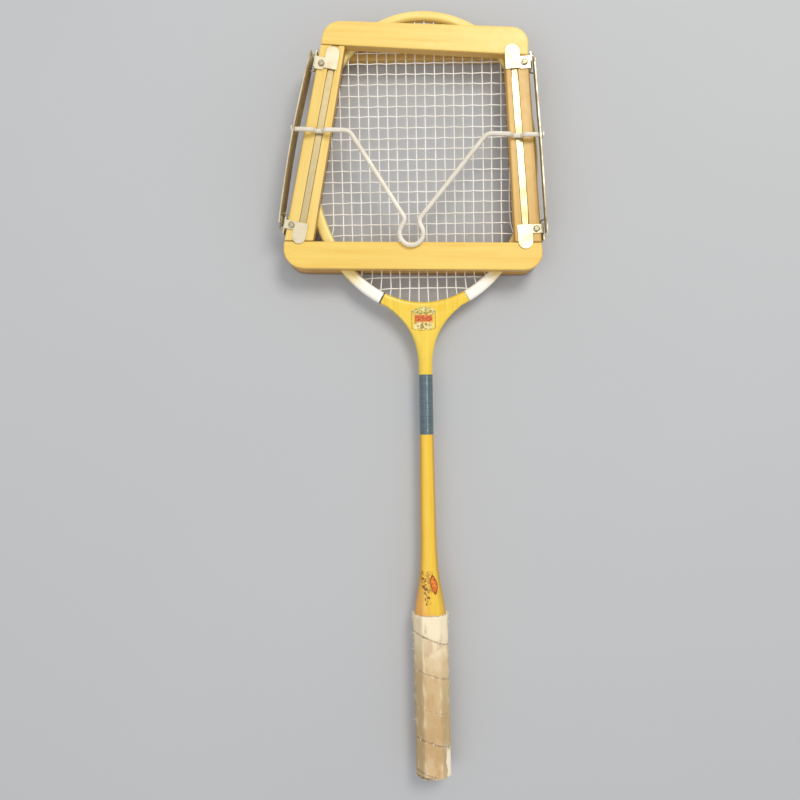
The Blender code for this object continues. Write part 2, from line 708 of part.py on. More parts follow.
def build_rear_bracket(corner, pieces, parent, steel):
    """A corner bracket let into the back face, with an ear that rises beside the stile."""
    side, way, _, _, _, ring_y = CORNERS[corner]
    arm_y, arm_half = ring_y + way * REAR_ARM[0], REAR_ARM[1]
    inner, outer = -EAR_OFFSET + SHEET / 2, -EAR_OFFSET - SHEET / 2
    outline, low, high = bracket_outline(side, arm_y, way, REAR_TAB, REAR_TAB_SPAN, arm_half, inner)
    corners = [edge_point(side, arm_y, outer, way * shift) for shift in (low, high)]
    front_z = REAR_PLATE_Z + SHEET
    bracket = add_mesh(f"rear_bracket_{corner}",
                       folded_plate(outline, *corners, REAR_PLATE_Z, front_z, EAR_TOP), steel, parent)
    change(bracket, eye_cutter(f"ear_eye_{corner}", side, ring_y, way * EYE_SHIFT, parent))
    pocket_outline = bracket_outline(side, arm_y, way, REAR_TAB, REAR_TAB_SPAN, arm_half, outer - 2, GAP)[0]
    pocket = add_mesh(f"rear_pocket_{corner}", prism(pocket_outline, -2, front_z + GAP), None, parent)
    change(pieces[side], pocket)
    change(pieces["top" if way > 0 else "bottom"], pocket)
    place = edge_point(side, arm_y, sum(REAR_TAB_SPAN) / 2, -way * 3.0)
    add_screw(f"rear_screw_{corner}", (*place, REAR_PLATE_Z - GAP), -1, [bracket, pieces[side]],
              parent, steel)


def eye_cutter(name, side, ring_y, shift, parent):
    """The hole where a ring passes through an ear or a strap."""
    inner, outer = edge_point(side, ring_y, -1.4, shift), edge_point(side, ring_y, -7.6, shift)
    return add_mesh(name, rod((*inner, RING_Z), (*outer, RING_Z), EYE_RADIUS), None, parent)


def add_screw(name, place, up, targets, parent, steel):
    """A slotted screw with its head on a bracket, and its hole through the pieces that it holds."""
    head_radius, head_height = SCREW_HEAD
    shank_radius, shank_length = SCREW_SHANK
    profile = [(shank_radius * 0.4, -shank_length), (shank_radius, -shank_length + 1.5), (shank_radius, 0),
               (head_radius, 0), (head_radius, head_height * 0.4), (head_radius * 0.65, head_height)]
    screw = add_mesh(name, lathe([(r, z * up) for r, z in profile], 12), steel, parent, place)
    slot = prism([(-3, -0.4), (3, -0.4), (3, 0.4), (-3, 0.4)], head_height * 0.45 * up, head_height * 2 * up)
    cutter = add_mesh(f"{name}_slot", slot, None, parent, place)
    cutter.rotation_euler = Euler((0, 0, math.radians(35.0)))
    change(screw, cutter)
    reach = shank_length + GAP
    hole = add_mesh(f"{name}_hole", cylinder((0, 0), shank_radius + GAP, min(-reach * up, 2 * up),
                                             max(-reach * up, 2 * up), 12), None, parent, place)
    for target in targets:
        change(target, hole)


def strap_offset(side, y, z):
    """How far out from the stile's edge a strap's middle runs at this place."""
    low, high = strap_limits(side)
    share = (2 * y - low - high) / (high - low)
    lean = STRAP_LEAN[side] * (z - RING_Z) / (STRAP_TOP - RING_Z)
    return STRAP_OFFSET + lean + STRAP_BOW[side] * (1 - share * share) ** 2


def strap_limits(side):
    """The strap's ends along Y, each inside its ring."""
    return CORNERS[f"bottom_{side}"][5] - 4.0, CORNERS[f"top_{side}"][5] + 4.0


def build_strap(side, parent, steel):
    """The flat strap outside a stile, with an eye at each end and the lever's bearing hole."""
    low, high = strap_limits(side)
    steps = 16
    rings = []
    for k in range(steps + 1):
        y = low + (high - low) * k / steps
        drop = 4.0 if k in (0, steps) else (1.0 if k in (1, steps - 1) else 0.0)
        ring = []
        for z, across in ((STRAP_BOTTOM + drop / 3, -0.5), (STRAP_BOTTOM + drop / 3, 0.5),
                          (STRAP_TOP - drop, 0.5), (STRAP_TOP - drop, -0.5)):
            out = strap_offset(side, y, z) + across * SHEET
            ring.append((*edge_point(side, y, -out), z))
        rings.append(ring)
    strap = add_mesh(f"strap_{side}", loft(rings), steel, parent)
    for end in ("top", "bottom"):
        _, way, _, _, _, ring_y = CORNERS[f"{end}_{side}"]
        change(strap, eye_cutter(f"strap_eye_{end}_{side}", side, ring_y, -way * EYE_SHIFT, parent))
    shaft = shaft_direction()
    place = strap_bearing(side)
    bearing = rod(place - shaft * 6, place + shaft * 6, LEVER_WIRE + 0.35, 16)
    change(strap, add_mesh(f"strap_bearing_{side}", bearing, None, parent))


def build_ring(corner, parent, steel):
    """The oval wire ring that ties a strap's end to the rear bracket's ear."""
    side, _, _, _, _, ring_y = CORNERS[corner]
    half_width, half_length = RING_HALF
    straight = half_length - half_width
    points = []
    for k in range(16):
        angle = 2 * math.pi * (k + 0.5) / 16
        along = straight * (1 if math.sin(angle) > 0 else -1) + half_width * math.sin(angle)
        flat = edge_point(side, ring_y, -RING_OFFSET + half_width * math.cos(angle), along)
        points.append((*flat, RING_Z))
    add_wire(f"ring_{corner}", points, RING_WIRE, steel, parent, closed=True, finish=1)


def shaft_direction():
    """The lever shaft's direction, from left to right."""
    return (Vector((*LEVER_RIGHT, 0)) - Vector((*LEVER_LEFT, 0))).normalized()


def strap_bearing(side):
    """Where the lever's axis passes through a strap's middle."""
    start = Vector((*(LEVER_LEFT if side == "left" else LEVER_RIGHT), LEVER_Z))
    out = strap_offset(side, start.y, LEVER_Z)
    target = edge_point(side, start.y, -out)
    return start + shaft_direction() * ((target.x - start.x) / shaft_direction().x)


def build_lever(parent, zinc):
    """The bent wire lever, its two cranks and finger loop, and the heads that keep it in the straps."""
    left, right = strap_bearing("left"), strap_bearing("right")
    origin = (left + right) / 2
    shaft = shaft_direction()
    turn = math.atan2(shaft.y, shaft.x)

    def local(point):
        """Along the shaft, and across it in plan."""
        offset = Vector(point) - origin.to_2d()
        return (offset.dot(shaft.to_2d()), offset.dot(Vector((-shaft.y, shaft.x))), 0.0)

    reach = (right - left).length / 2 + SHEET / 2 + HEAD_STANDOFF
    first, second = [], []
    for (x, half), target in zip(CRANKS, (first, second)):
        middle = local((x, origin.y))[0]
        target.extend([(middle - half - 2.6, 0, 0), (middle - half + 0.6, 0, -CRANK_THROW),
                       (middle + half - 0.6, 0, -CRANK_THROW), (middle + half + 2.6, 0, 0)])
    loop = []
    for k in range(15):
        angle = math.radians(145.0 + 250.0 * k / 14)
        loop.append(local((LOOP_CENTRE[0] + LOOP_RADIUS * math.cos(angle),
                           LOOP_CENTRE[1] + LOOP_RADIUS * math.sin(angle))))
    half_left = [(-reach, 0, 0)] + first + [local(LEG_BENDS[0]), local(LOOP_NECKS[0]), loop[0]]
    half_right = [loop[-1], local(LOOP_NECKS[1]), local(LEG_BENDS[1])] + second + [(reach, 0, 0)]
    path = rounded_path(half_left, [2.5] * 4 + [8.0, 5.0])
    path.extend(Vector(point) for point in loop[1:-1])
    path.extend(rounded_path(half_right, [5.0, 9.0] + [2.5] * 4))
    lever = add_wire("clamp_lever", path, LEVER_WIRE, zinc, parent, place=origin)
    lever.rotation_euler = Euler((LEVER_DROP, 0, turn))
    for side, sign in (("left", -1), ("right", 1)):
        start = (reach + GAP) * sign
        head = rod((start, 0, 0), (start + sign * 1.2, 0, 0), 3.0, 12)
        add_mesh(f"lever_head_{side}", head, zinc, parent, origin).rotation_euler = lever.rotation_euler


def main():
    clear_scene()
    racket_wood = make_material("racket_wood", (0.80, 0.52, 0.14), 0.25)
    gut = make_material("string", (0.82, 0.78, 0.70), 0.45)
    thread = make_material("whipping", (0.09, 0.15, 0.17), 0.3)
    leather = make_material("grip_leather", (0.62, 0.46, 0.30), 0.85)
    press_wood = make_material("press_wood", (0.82, 0.62, 0.26), 0.35)
    nickel = make_material("nickel_plate", (0.72, 0.70, 0.64), 0.35, 1.0)
    zinc = make_material("lever_plating", (0.70, 0.67, 0.58), 0.45, 0.8)

    whole = add_empty("badminton_racket_in_press", place=(*AXIS, 0))
    racket = add_empty("racket", whole)
    build_hoop(racket, racket_wood)
    build_strings(racket, gut)
    build_throat(racket, racket_wood)
    build_shaft(racket, racket_wood)
    build_whipping(racket, thread)
    build_handle(racket, racket_wood, leather)

    rear = add_empty("rear_frame", whole)
    front = add_empty("front_frame", whole)
    rear_pieces = build_frame("rear", REAR_FOOT, REAR_HEAD, 0.0, rear, press_wood)
    front_pieces = build_frame("front", FRONT_FOOT, FRONT_HEAD, FRONT_Z, front, press_wood)
    for side in ("left", "right"):
        cut_leaf_groove(front_pieces[side], side, front)
        build_leaf(side, front, nickel)
        build_strap(side, rear, nickel)
    for corner in CORNERS:
        build_front_bracket(corner, front_pieces, front, nickel)
        build_rear_bracket(corner, rear_pieces, rear, nickel)
        build_ring(corner, rear, nickel)
    build_lever(whole, zinc)


main()
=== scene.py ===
import math

import bmesh
import bpy
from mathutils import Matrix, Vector, noise

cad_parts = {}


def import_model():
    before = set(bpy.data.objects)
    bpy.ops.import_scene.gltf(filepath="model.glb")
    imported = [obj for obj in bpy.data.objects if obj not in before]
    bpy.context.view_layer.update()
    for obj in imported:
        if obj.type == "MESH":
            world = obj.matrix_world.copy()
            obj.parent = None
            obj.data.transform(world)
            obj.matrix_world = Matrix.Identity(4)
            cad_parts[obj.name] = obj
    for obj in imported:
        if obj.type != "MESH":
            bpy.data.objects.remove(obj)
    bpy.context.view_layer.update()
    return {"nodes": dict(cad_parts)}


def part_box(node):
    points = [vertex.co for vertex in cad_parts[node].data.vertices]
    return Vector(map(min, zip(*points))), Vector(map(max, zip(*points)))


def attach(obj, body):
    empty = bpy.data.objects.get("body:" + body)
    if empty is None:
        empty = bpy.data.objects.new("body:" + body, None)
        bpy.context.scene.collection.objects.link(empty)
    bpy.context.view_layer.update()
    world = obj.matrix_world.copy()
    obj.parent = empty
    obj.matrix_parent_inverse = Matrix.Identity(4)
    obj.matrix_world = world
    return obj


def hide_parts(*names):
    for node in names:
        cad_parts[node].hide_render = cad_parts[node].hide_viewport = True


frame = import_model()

MM = 0.001

# The racket in its own drawing: millimetres, the shaft's axis at x 0 and the string plane at z 0
WHIPPING = (18.5, -33.5, 6.1)  # top, lower end and radius
AXIS_X, AXIS_Y, PLANE_Z = [sum(corner[i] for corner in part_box("shaft_whipping")) / 2 / MM for i in range(3)]
AXIS_Y -= (WHIPPING[0] + WHIPPING[1]) / 2
HEAD_CENTRE = (-0.6, 200.7)
HEAD_INNER = (90.6, 120.6)  # half width and half length
HEAD_BULGE = (48.0, 24.0, 3.5)  # its turn and spread in degrees, and its height
HOOP_HALF_DEPTH = 4.2
HOOP_WIDTHS = (7.8, 9.8)  # at the top and at the throat
MAIN_COUNT, MAIN_PITCH = 20, 8.09
CROSS_COUNT, CROSS_PITCH, CROSS_FIRST = 25, 9.21, 92.3
STRING_RADIUS = 0.5
STRING_INSET = 1.2
STRING_LEVEL = 0.6
WEAVE = 0.52
SHOULDER = (33.7, 78.9)
NECK_RADIUS, NECK_Y = 5.95, 28.0
GRIP_TOP, BUTT = -185.9, -324.6
GRIP_HALF = (14.9, 13.2)
HANDLE_LEAN = (-100.0, 0.006)  # where it starts, and its slope

# Transfers and paint: the turns in degrees where the white on each side starts and ends
WHITE_RIGHT, WHITE_LEFT = (-67.6, -52.0), (-111.4, -127.5)
THROAT_YELLOWS = ((244, 210, 78), (238, 194, 46))
EMBLEM_CENTRE = (-1.2, 65.6)
OVAL_CENTRE, OVAL_HALF = (-21.9, -160.5), (3.1, 8.4)

# The stage, in metres
FLOOR_HALF, FLOOR_LEVEL = 3.0, -0.0003
CAMERA_PLACE, CAMERA_TURN, CAMERA_LENS = (-0.0142, -0.0056, 0.6775), -0.01658, 34.68


def srgb(red, green, blue):
    """A linear colour from its 0 to 255 screen values."""
    parts = []
    for value in (red, green, blue):
        share = value / 255.0
        parts.append(share / 12.92 if share <= 0.04045 else ((share + 0.055) / 1.055) ** 2.4)
    return (*parts, 1.0)


# ---- materials

class Paint:
    """A node material under construction; each method returns the socket of what it makes."""

    def __init__(self, name, roughness=0.5, metallic=0.0, coat=0.0, coat_roughness=0.1, specular=0.5):
        self.material = bpy.data.materials.new(name)
        self.material.use_nodes = True
        self.tree = self.material.node_tree
        self.shader = self.tree.nodes["Principled BSDF"]
        for socket, value in (("Roughness", roughness), ("Metallic", metallic), ("Coat Weight", coat),
                              ("Coat Roughness", coat_roughness), ("Specular IOR Level", specular)):
            self.shader.inputs[socket].default_value = value
        coordinates = self.node("ShaderNodeTexCoord").outputs
        self.place, self.flat = coordinates["Object"], coordinates["UV"]

    def node(self, kind, inputs=(), **settings):
        """A new node; each input is a socket to link or a value to set."""
        made = self.tree.nodes.new(kind)
        for key, value in settings.items():
            setattr(made, key, value)
        for key, value in dict(inputs).items():
            if isinstance(value, bpy.types.NodeSocket):
                self.tree.links.new(value, made.inputs[key])
            else:
                made.inputs[key].default_value = value
        return made

    def maths(self, operation, first, second=0.0, third=0.0):
        sockets = {0: first, 1: second}
        if operation == "MULTIPLY_ADD":
            sockets[2] = third
        return self.node("ShaderNodeMath", sockets, operation=operation).outputs[0]

    def times(self, first, second):
        return self.maths("MULTIPLY", first, second)

    def warp(self, vector, scale, turn=0.0, move=(0.0, 0.0, 0.0)):
        """The vector turned about Z and moved, then stretched."""
        turned = self.node("ShaderNodeMapping", {"Vector": vector, "Rotation": (0.0, 0.0, -turn),
                                                 "Location": move}).outputs[0]
        return self.node("ShaderNodeMapping", {"Vector": turned, "Scale": scale}).outputs[0]

    def noise(self, vector, scale=1.0, detail=3.0, roughness=0.5, distortion=0.0):
        return self.node("ShaderNodeTexNoise", {"Vector": vector, "Scale": scale, "Detail": detail,
                                                "Roughness": roughness, "Distortion": distortion}
                         ).outputs["Fac"]

    def spread(self, value, low, high, to_low=0.0, to_high=1.0):
        """A value moved smoothly from one span to another."""
        return self.node("ShaderNodeMapRange", {"Value": value, "From Min": low, "From Max": high,
                                                "To Min": to_low, "To Max": to_high},
                         interpolation_type="SMOOTHSTEP").outputs["Result"]

    def mix(self, share, first, second):
        """The first colour where share is 0, the second where it is 1."""
        made = self.node("ShaderNodeMix", data_type="RGBA")
        for socket, value in ((made.inputs[0], share), (made.inputs[6], first), (made.inputs[7], second)):
            if isinstance(value, bpy.types.NodeSocket):
                self.tree.links.new(value, socket)
            else:
                socket.default_value = value
        return made.outputs[2]

    def split(self, vector):
        return self.node("ShaderNodeSeparateXYZ", {"Vector": vector}).outputs

    def join(self, x, y, z):
        return self.node("ShaderNodeCombineXYZ", {"X": x, "Y": y, "Z": z}).outputs[0]

    def facing(self, axis):
        """How squarely the surface faces along an axis, either way: 0 to 1."""
        normal = self.node("ShaderNodeNewGeometry").outputs["Normal"]
        return self.maths("ABSOLUTE", self.split(normal)[axis])

    def spot(self, x, y, centre, half, soft):
        """1 inside a box round centre in the plan of x and y, 0 outside, with a soft edge."""
        away = [self.maths("SUBTRACT", self.maths("ABSOLUTE", self.maths("SUBTRACT", v, c)), h)
                for v, c, h in ((x, centre[0], half[0]), (y, centre[1], half[1]))]
        return self.spread(self.maths("MAXIMUM", *away), -soft, soft, 1.0, 0.0)

    def finish(self, colour, roughness=None, bump=None, depth=0.0002, metallic=None):
        """Link what the material was given to its shader; depth is the bump's, in metres."""
        self.tree.links.new(colour, self.shader.inputs["Base Color"])
        if roughness is not None:
            self.tree.links.new(roughness, self.shader.inputs["Roughness"])
        if metallic is not None:
            self.tree.links.new(metallic, self.shader.inputs["Metallic"])
        if bump is not None:
            made = self.node("ShaderNodeBump", {"Height": bump, "Strength": 0.6, "Distance": depth})
            self.tree.links.new(made.outputs[0], self.shader.inputs["Normal"])
        return self.material


def board_wood(name, turn, pale, deep, seed, side):
    """Varnished beech: long soft streaks, short dark flecks, slow changes of tone, and painted shade on the
    upright side faces.
    """
    paint = Paint(name, coat=0.2, coat_roughness=0.25, specular=0.3)
    streak = paint.noise(paint.warp(paint.place, (9.0, 190.0, 190.0), turn, (seed, 0.3 * seed, 0.0)),
                         detail=5.0, roughness=0.6, distortion=0.3)
    fine = paint.noise(paint.warp(paint.place, (60.0, 1500.0, 1500.0), turn), detail=2.0)
    fleck = paint.noise(paint.warp(paint.place, (420.0, 2600.0, 2600.0), turn), detail=1.0)
    slow = paint.noise(paint.place, 14.0, 2.0)
    colour = paint.mix(paint.spread(streak, 0.3, 0.76), srgb(*pale), srgb(*deep))
    colour = paint.mix(paint.spread(fine, 0.35, 0.8, 0.0, 0.22), colour, srgb(*deep))
    colour = paint.mix(paint.spread(fleck, 0.67, 0.75, 0.0, 0.28), colour,
                       srgb(*[v * 0.8 for v in deep]))
    colour = paint.mix(paint.spread(slow, 0.3, 0.75, 0.0, 0.5), colour, srgb(*pale))
    # Painted shade: upright side faces are mixed toward the darker side colour.
    colour = paint.mix(paint.spread(paint.facing(2), 0.2, 0.8, 0.75, 0.0), colour, srgb(*side))
    dirt = paint.noise(paint.place, 160.0, 4.0, 0.7)
    colour = paint.mix(paint.spread(dirt, 0.66, 0.76, 0.0, 0.25), colour, srgb(126, 92, 48))
    rough = paint.spread(dirt, 0.3, 0.8, 0.3, 0.55)
    height = paint.maths("ADD", paint.times(streak, 0.5), paint.times(fleck, 0.35))
    return paint.finish(colour, rough, height, 0.00012)


def lacquered_ash(name, vector_of, pale, deep, extra=None):
    """Golden lacquer over ash: pores and growth lines along the first axis of vector_of(paint)."""
    paint = Paint(name, coat=0.45, coat_roughness=0.16, specular=0.3)
    vector = vector_of(paint)
    line = paint.noise(paint.warp(vector, (14.0, 420.0, 420.0)), detail=4.0, roughness=0.6)
    pore = paint.noise(paint.warp(vector, (130.0, 2400.0, 2400.0)), detail=2.0)
    slow = paint.noise(paint.place, 22.0, 2.0)
    colour = paint.mix(paint.spread(line, 0.35, 0.7), srgb(*pale), srgb(*deep))
    colour = paint.mix(paint.spread(pore, 0.6, 0.75, 0.0, 0.5), colour, srgb(*[v * 0.72 for v in deep]))
    colour = paint.mix(paint.spread(slow, 0.35, 0.7, 0.0, 0.45), colour, srgb(*pale))
    rough = paint.spread(slow, 0.3, 0.7, 0.22, 0.36)
    if extra:
        colour = extra(paint, colour)
    height = paint.maths("ADD", paint.times(line, 0.4), paint.times(pore, 0.3))
    return paint.finish(colour, rough, height, 0.00008)


def shaft_grain(paint):
    """The surface's place, turned so that the wood's grain follows the shaft."""
    return paint.warp(paint.place, (1.0, 1.0, 1.0), math.pi / 2)


def worn_metal(name, bright, dull, rough_low, rough_high, rust, metallic=1.0, turn=0.0):
    """Plated steel with fine scratches, a grey bloom and rust freckles."""
    paint = Paint(name, metallic=metallic)
    bloom = paint.noise(paint.place, 85.0, 3.0, 0.55)
    scratch = paint.noise(paint.warp(paint.place, (90.0, 2600.0, 700.0), turn), detail=2.0)
    cross = paint.noise(paint.warp(paint.place, (2200.0, 160.0, 900.0), turn + 0.6), detail=2.0)
    freckle = paint.noise(paint.place, 760.0, 3.0, 0.7)
    spots = paint.times(paint.spread(freckle, 0.63, 0.7), paint.spread(bloom, 0.5, 0.64))
    spots = paint.times(spots, rust)
    colour = paint.mix(paint.spread(bloom, 0.3, 0.75), srgb(*bright), srgb(*dull))
    colour = paint.mix(paint.spread(scratch, 0.6, 0.7, 0.0, 0.25), colour, srgb(*bright))
    colour = paint.mix(spots, colour, srgb(128, 88, 48))
    lines = paint.maths("MAXIMUM", paint.spread(scratch, 0.58, 0.72), paint.spread(cross, 0.62, 0.74))
    rough = paint.maths("ADD", paint.spread(bloom, 0.3, 0.7, rough_low, rough_high),
                        paint.times(lines, 0.08))
    shine = paint.spread(spots, 0.1, 0.6, metallic, 0.1)
    height = paint.maths("SUBTRACT", paint.times(freckle, 0.2),
                         paint.times(lines, 0.25))
    return paint.finish(colour, rough, height, 0.00003, shine)


# ---- mesh helpers

def placed(name, data):
    """A new object in the scene."""
    made = bpy.data.objects.new(name, data)
    bpy.context.scene.collection.objects.link(made)
    return made


def skin(name, rows, body, material, sharp, loop=False, u=None, v=None, caps=(), marks=None):
    """A mesh over closed rows of points in millimetres.

    loop joins the last row to the first, and caps names the rows that a face closes. u and v are the
    rows' and points' places in the UV map, sharp is in degrees, and marks holds values by point.
    """
    count = len(rows[0])
    points = [Vector(point) * MM for row in rows for point in row]
    faces, flat = [], []
    for r in range(len(rows) if loop else len(rows) - 1):
        after = (r + 1) % len(rows)
        for c in range(count):
            beside = (c + 1) % count
            faces.append((r * count + c, r * count + beside, after * count + beside, after * count + c))
            if u:
                flat.extend([(u[r], v[c]), (u[r], v[c + 1]), (u[r + 1], v[c + 1]), (u[r + 1], v[c])])
    for row in caps:
        start = (row % len(rows)) * count
        faces.append(tuple(range(start, start + count)))
        flat.extend([(0.0, 0.0)] * count)
    mesh = bpy.data.meshes.new(name)
    mesh.from_pydata(points, [], faces)
    if u:
        layer = mesh.uv_layers.new(name="grain")
        for k, pair in enumerate(flat):
            layer.data[k].uv = pair
    for key, values in (marks or {}).items():
        mesh.attributes.new(key, "FLOAT", "POINT").data.foreach_set("value", values)
    mesh.validate()
    mesh.shade_smooth()
    mesh.set_sharp_from_angle(angle=math.radians(sharp))
    mesh.materials.append(material)
    made = placed(name, mesh)
    face_out(made)
    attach(made, body)
    return made


def face_out(made):
    """Turn all faces outward."""
    shape = bmesh.new()
    shape.from_mesh(made.data)
    bmesh.ops.recalc_face_normals(shape, faces=shape.faces)
    shape.to_mesh(made.data)
    shape.free()


def wires(name, paths, radius, body, material, sides):
    """Round strings along lists of points in millimetres."""
    curve = bpy.data.curves.new(name, "CURVE")
    curve.dimensions = "3D"
    curve.bevel_depth = radius * MM
    curve.bevel_resolution = sides
    curve.use_fill_caps = True
    for path in paths:
        spline = curve.splines.new("POLY")
        spline.points.add(len(path) - 1)
        for point, place in zip(spline.points, path):
            point.co = (place[0] * MM, place[1] * MM, place[2] * MM, 1.0)
        spline.use_smooth = True
    curve.materials.append(material)
    made = placed(name, curve)
    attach(made, body)
    return made


def coat(node, material):
    """Give a CAD node its finished material."""
    for place in frame["nodes"][node].material_slots:
        place.link = "OBJECT"
        place.material = material


def smooth_by_angle():
    """A modifier's node group that smooths a surface but keeps its sharp edges."""
    group = bpy.data.node_groups.new("smooth_by_angle", "GeometryNodeTree")
    group.interface.new_socket("Geometry", in_out="INPUT", socket_type="NodeSocketGeometry")
    group.interface.new_socket("Geometry", in_out="OUTPUT", socket_type="NodeSocketGeometry")
    first, last = group.nodes.new("NodeGroupInput"), group.nodes.new("NodeGroupOutput")
    faces, edges = (group.nodes.new("GeometryNodeSetShadeSmooth") for _ in range(2))
    edges.domain = "EDGE"
    angle = group.nodes.new("GeometryNodeInputMeshEdgeAngle")
    sharp = group.nodes.new("FunctionNodeCompare")
    sharp.operation = "GREATER_THAN"
    sharp.inputs[1].default_value = math.radians(32.0)
    edges.inputs["Shade Smooth"].default_value = False
    group.links.new(angle.outputs["Unsigned Angle"], sharp.inputs[0])
    group.links.new(first.outputs[0], faces.inputs[0])
    group.links.new(faces.outputs[0], edges.inputs[0])
    group.links.new(sharp.outputs[0], edges.inputs["Selection"])
    group.links.new(edges.outputs[0], last.inputs[0])
    return group


def soften(node, width, group):
    """Small rounded edges and smooth shading on a CAD node."""
    target = frame["nodes"][node]
    if width:
        step = target.modifiers.new("edge", "BEVEL")
        step.width, step.segments = width * MM, 2
        step.limit_method, step.angle_limit = "ANGLE", math.radians(50.0)
    target.modifiers.new("smooth", "NODES").node_group = group


# ---- racket

def world(x, y, z):
    """A racket drawing point in the frame."""
    return (x + AXIS_X, y + AXIS_Y, z + PLANE_Z)


def lean(y):
    """How far the handle's middle lies right of the axis."""
    return max(0.0, HANDLE_LEAN[0] - y) * HANDLE_LEAN[1]


def drawing_place(paint):
    """The surface's x, y and z sockets in the drawing's millimetres."""
    origin = (AXIS_X, AXIS_Y, PLANE_Z)
    return [paint.times(paint.maths("SUBTRACT", spot, start * MM), 1 / MM)
            for spot, start in zip(paint.split(paint.place), origin)]


def head_point(turn, outward):
    """A point this far outside the head's inner ellipse, which is fuller round one turn."""
    half_width, half_length = HEAD_INNER
    normal = Vector((half_length * math.cos(turn), half_width * math.sin(turn))).normalized()
    inner = Vector((half_width * math.cos(turn), half_length * math.sin(turn)))
    middle, spread, height = HEAD_BULGE
    away = (math.degrees(turn) - middle + 180.0) % 360.0 - 180.0
    outward += height * math.exp(-(away / spread) ** 2)
    return Vector(HEAD_CENTRE) + inner + normal * outward


def hoop_width(turn):
    """The hoop's width in plan, growing from its top to the throat."""
    return HOOP_WIDTHS[0] + (HOOP_WIDTHS[1] - HOOP_WIDTHS[0]) * (1.0 - math.sin(turn)) / 2.0


def hoop_length(turn):
    """Length along the head's inner edge from its lower end, to the right positive, in millimetres."""
    steps = 200
    total, start = 0.0, -math.pi / 2
    for k in range(steps):
        here = start + (turn - start) * (k + 0.5) / steps
        total += math.hypot(HEAD_INNER[0] * math.sin(here), HEAD_INNER[1] * math.cos(here))
    return total * (turn - start) / steps


def shoulder_paint(paint, colour):
    """White shoulders that fade out in speckles, the deep yellow between them, and a dark stripe."""
    along = paint.split(paint.flat)[0]
    speckle = paint.noise(paint.place, 1500.0, 2.0, 0.6)
    grain = paint.times(paint.maths("SUBTRACT", speckle, 0.5), 0.05)
    ragged = paint.maths("ADD", grain, along)
    right_start, right_end, left_start, left_end = (
        hoop_length(math.radians(turn)) * MM for turn in (*WHITE_RIGHT, *WHITE_LEFT))
    edge, inward, past = 0.0004, 0.007, 0.004
    right = paint.times(paint.spread(along, right_start - edge, right_start + edge),
                        paint.spread(ragged, right_end - inward, right_end + past, 1.0, 0.0))
    left = paint.times(paint.spread(along, left_start - edge, left_start + edge, 1.0, 0.0),
                       paint.spread(ragged, left_end - past, left_end + inward))
    between = paint.times(paint.spread(along, left_start - edge, left_start + edge),
                          paint.spread(along, right_start - edge, right_start + edge, 1.0, 0.0))
    colour = paint.mix(between, colour, throat_tone(paint))
    colour = throat_emblem(paint, colour)
    colour = paint.mix(paint.maths("MAXIMUM", right, left), colour, srgb(253, 249, 238))
    from_right = paint.maths("ABSOLUTE", paint.maths("SUBTRACT", along, right_start))
    colour = paint.mix(paint.spread(from_right, 0.0002, 0.0006, 0.5, 0.0), colour, srgb(150, 112, 40))
    from_left = paint.maths("ABSOLUTE", paint.maths("SUBTRACT", along, left_start - 0.0003))
    stripe = paint.spread(from_left, 0.0005, 0.0009, 1.0, 0.0)
    return paint.mix(stripe, colour, srgb(92, 78, 50))


def throat_tone(paint):
    """The throat's deep yellow, with growth lines along the shaft."""
    grain = paint.warp(paint.place, (14.0, 420.0, 420.0), math.pi / 2)
    line = paint.noise(grain, detail=4.0, roughness=0.6)
    return paint.mix(paint.spread(line, 0.35, 0.7), *(srgb(*tone) for tone in THROAT_YELLOWS))


def build_hoop():
    """The bent hoop, with its bevels and the groove in its outer face."""
    steps, half = 216, HOOP_HALF_DEPTH
    square_span, square_fade = 17.0, 6.0
    square_bevel, full_bevel = 0.06, 1.6
    turns = [2 * math.pi * step / steps - 1.5 * math.pi for step in range(steps + 1)]
    u = [hoop_length(turn) * MM for turn in turns]
    rows = []
    for turn in turns[:-1]:
        width = hoop_width(turn)
        from_throat = abs((math.degrees(turn) + 90.0 + 180.0) % 360.0 - 180.0)
        share = min(1.0, max(0.0, (from_throat - square_span) / square_fade))
        outer = square_bevel + (full_bevel - square_bevel) * share
        top = [(0.0, half - 1.7), (0.15, half - 1.35), (1.3, half - 0.16), (1.7, half), (width / 2, half),
               (width - outer - 0.1, half), (width - outer * 0.8, half - outer * 0.1),
               (width - outer * 0.1, half - outer * 0.8), (width, half - outer - 0.1),
               (width, 1.75), (width - 0.12, 1.6), (width - 1.5, 1.5)]
        section = top + [(out, -height) for out, height in reversed(top)]
        rows.append([world(*head_point(turn, out), height) for out, height in section])
    v = [0.0]
    for k in range(len(rows[0])):
        gap = Vector(rows[0][(k + 1) % len(rows[0])]) - Vector(rows[0][k])
        v.append(v[-1] + gap.length * MM)

    def bent(paint):
        """Length along the hoop, roughly how far outward, and height."""
        spot = paint.split(paint.place)
        squares = []
        for place, middle, start, half_size in zip(spot, HEAD_CENTRE, (AXIS_X, AXIS_Y), HEAD_INNER):
            away = paint.maths("SUBTRACT", place, (middle + start) * MM)
            squares.append(paint.maths("POWER", paint.maths("DIVIDE", away, half_size * MM), 2.0))
        out = paint.maths("SQRT", paint.maths("ADD", *squares))
        return paint.join(paint.split(paint.flat)[0], paint.times(out, 0.1), spot[2])

    material = lacquered_ash("hoop_wood", bent, (248, 224, 138), (242, 208, 106), shoulder_paint)
    made = skin("hoop_bent", rows, "racket", material, loop=True, u=u, v=v, sharp=50.0)
    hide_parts("hoop")


def bezier(points, share):
    """A point on the cubic curve with these four control points."""
    first, second, third, last = (Vector(p) for p in points)
    rest = 1 - share
    return (first * rest ** 3 + second * (3 * rest * rest * share) + third * (3 * rest * share * share)
            + last * share ** 3)


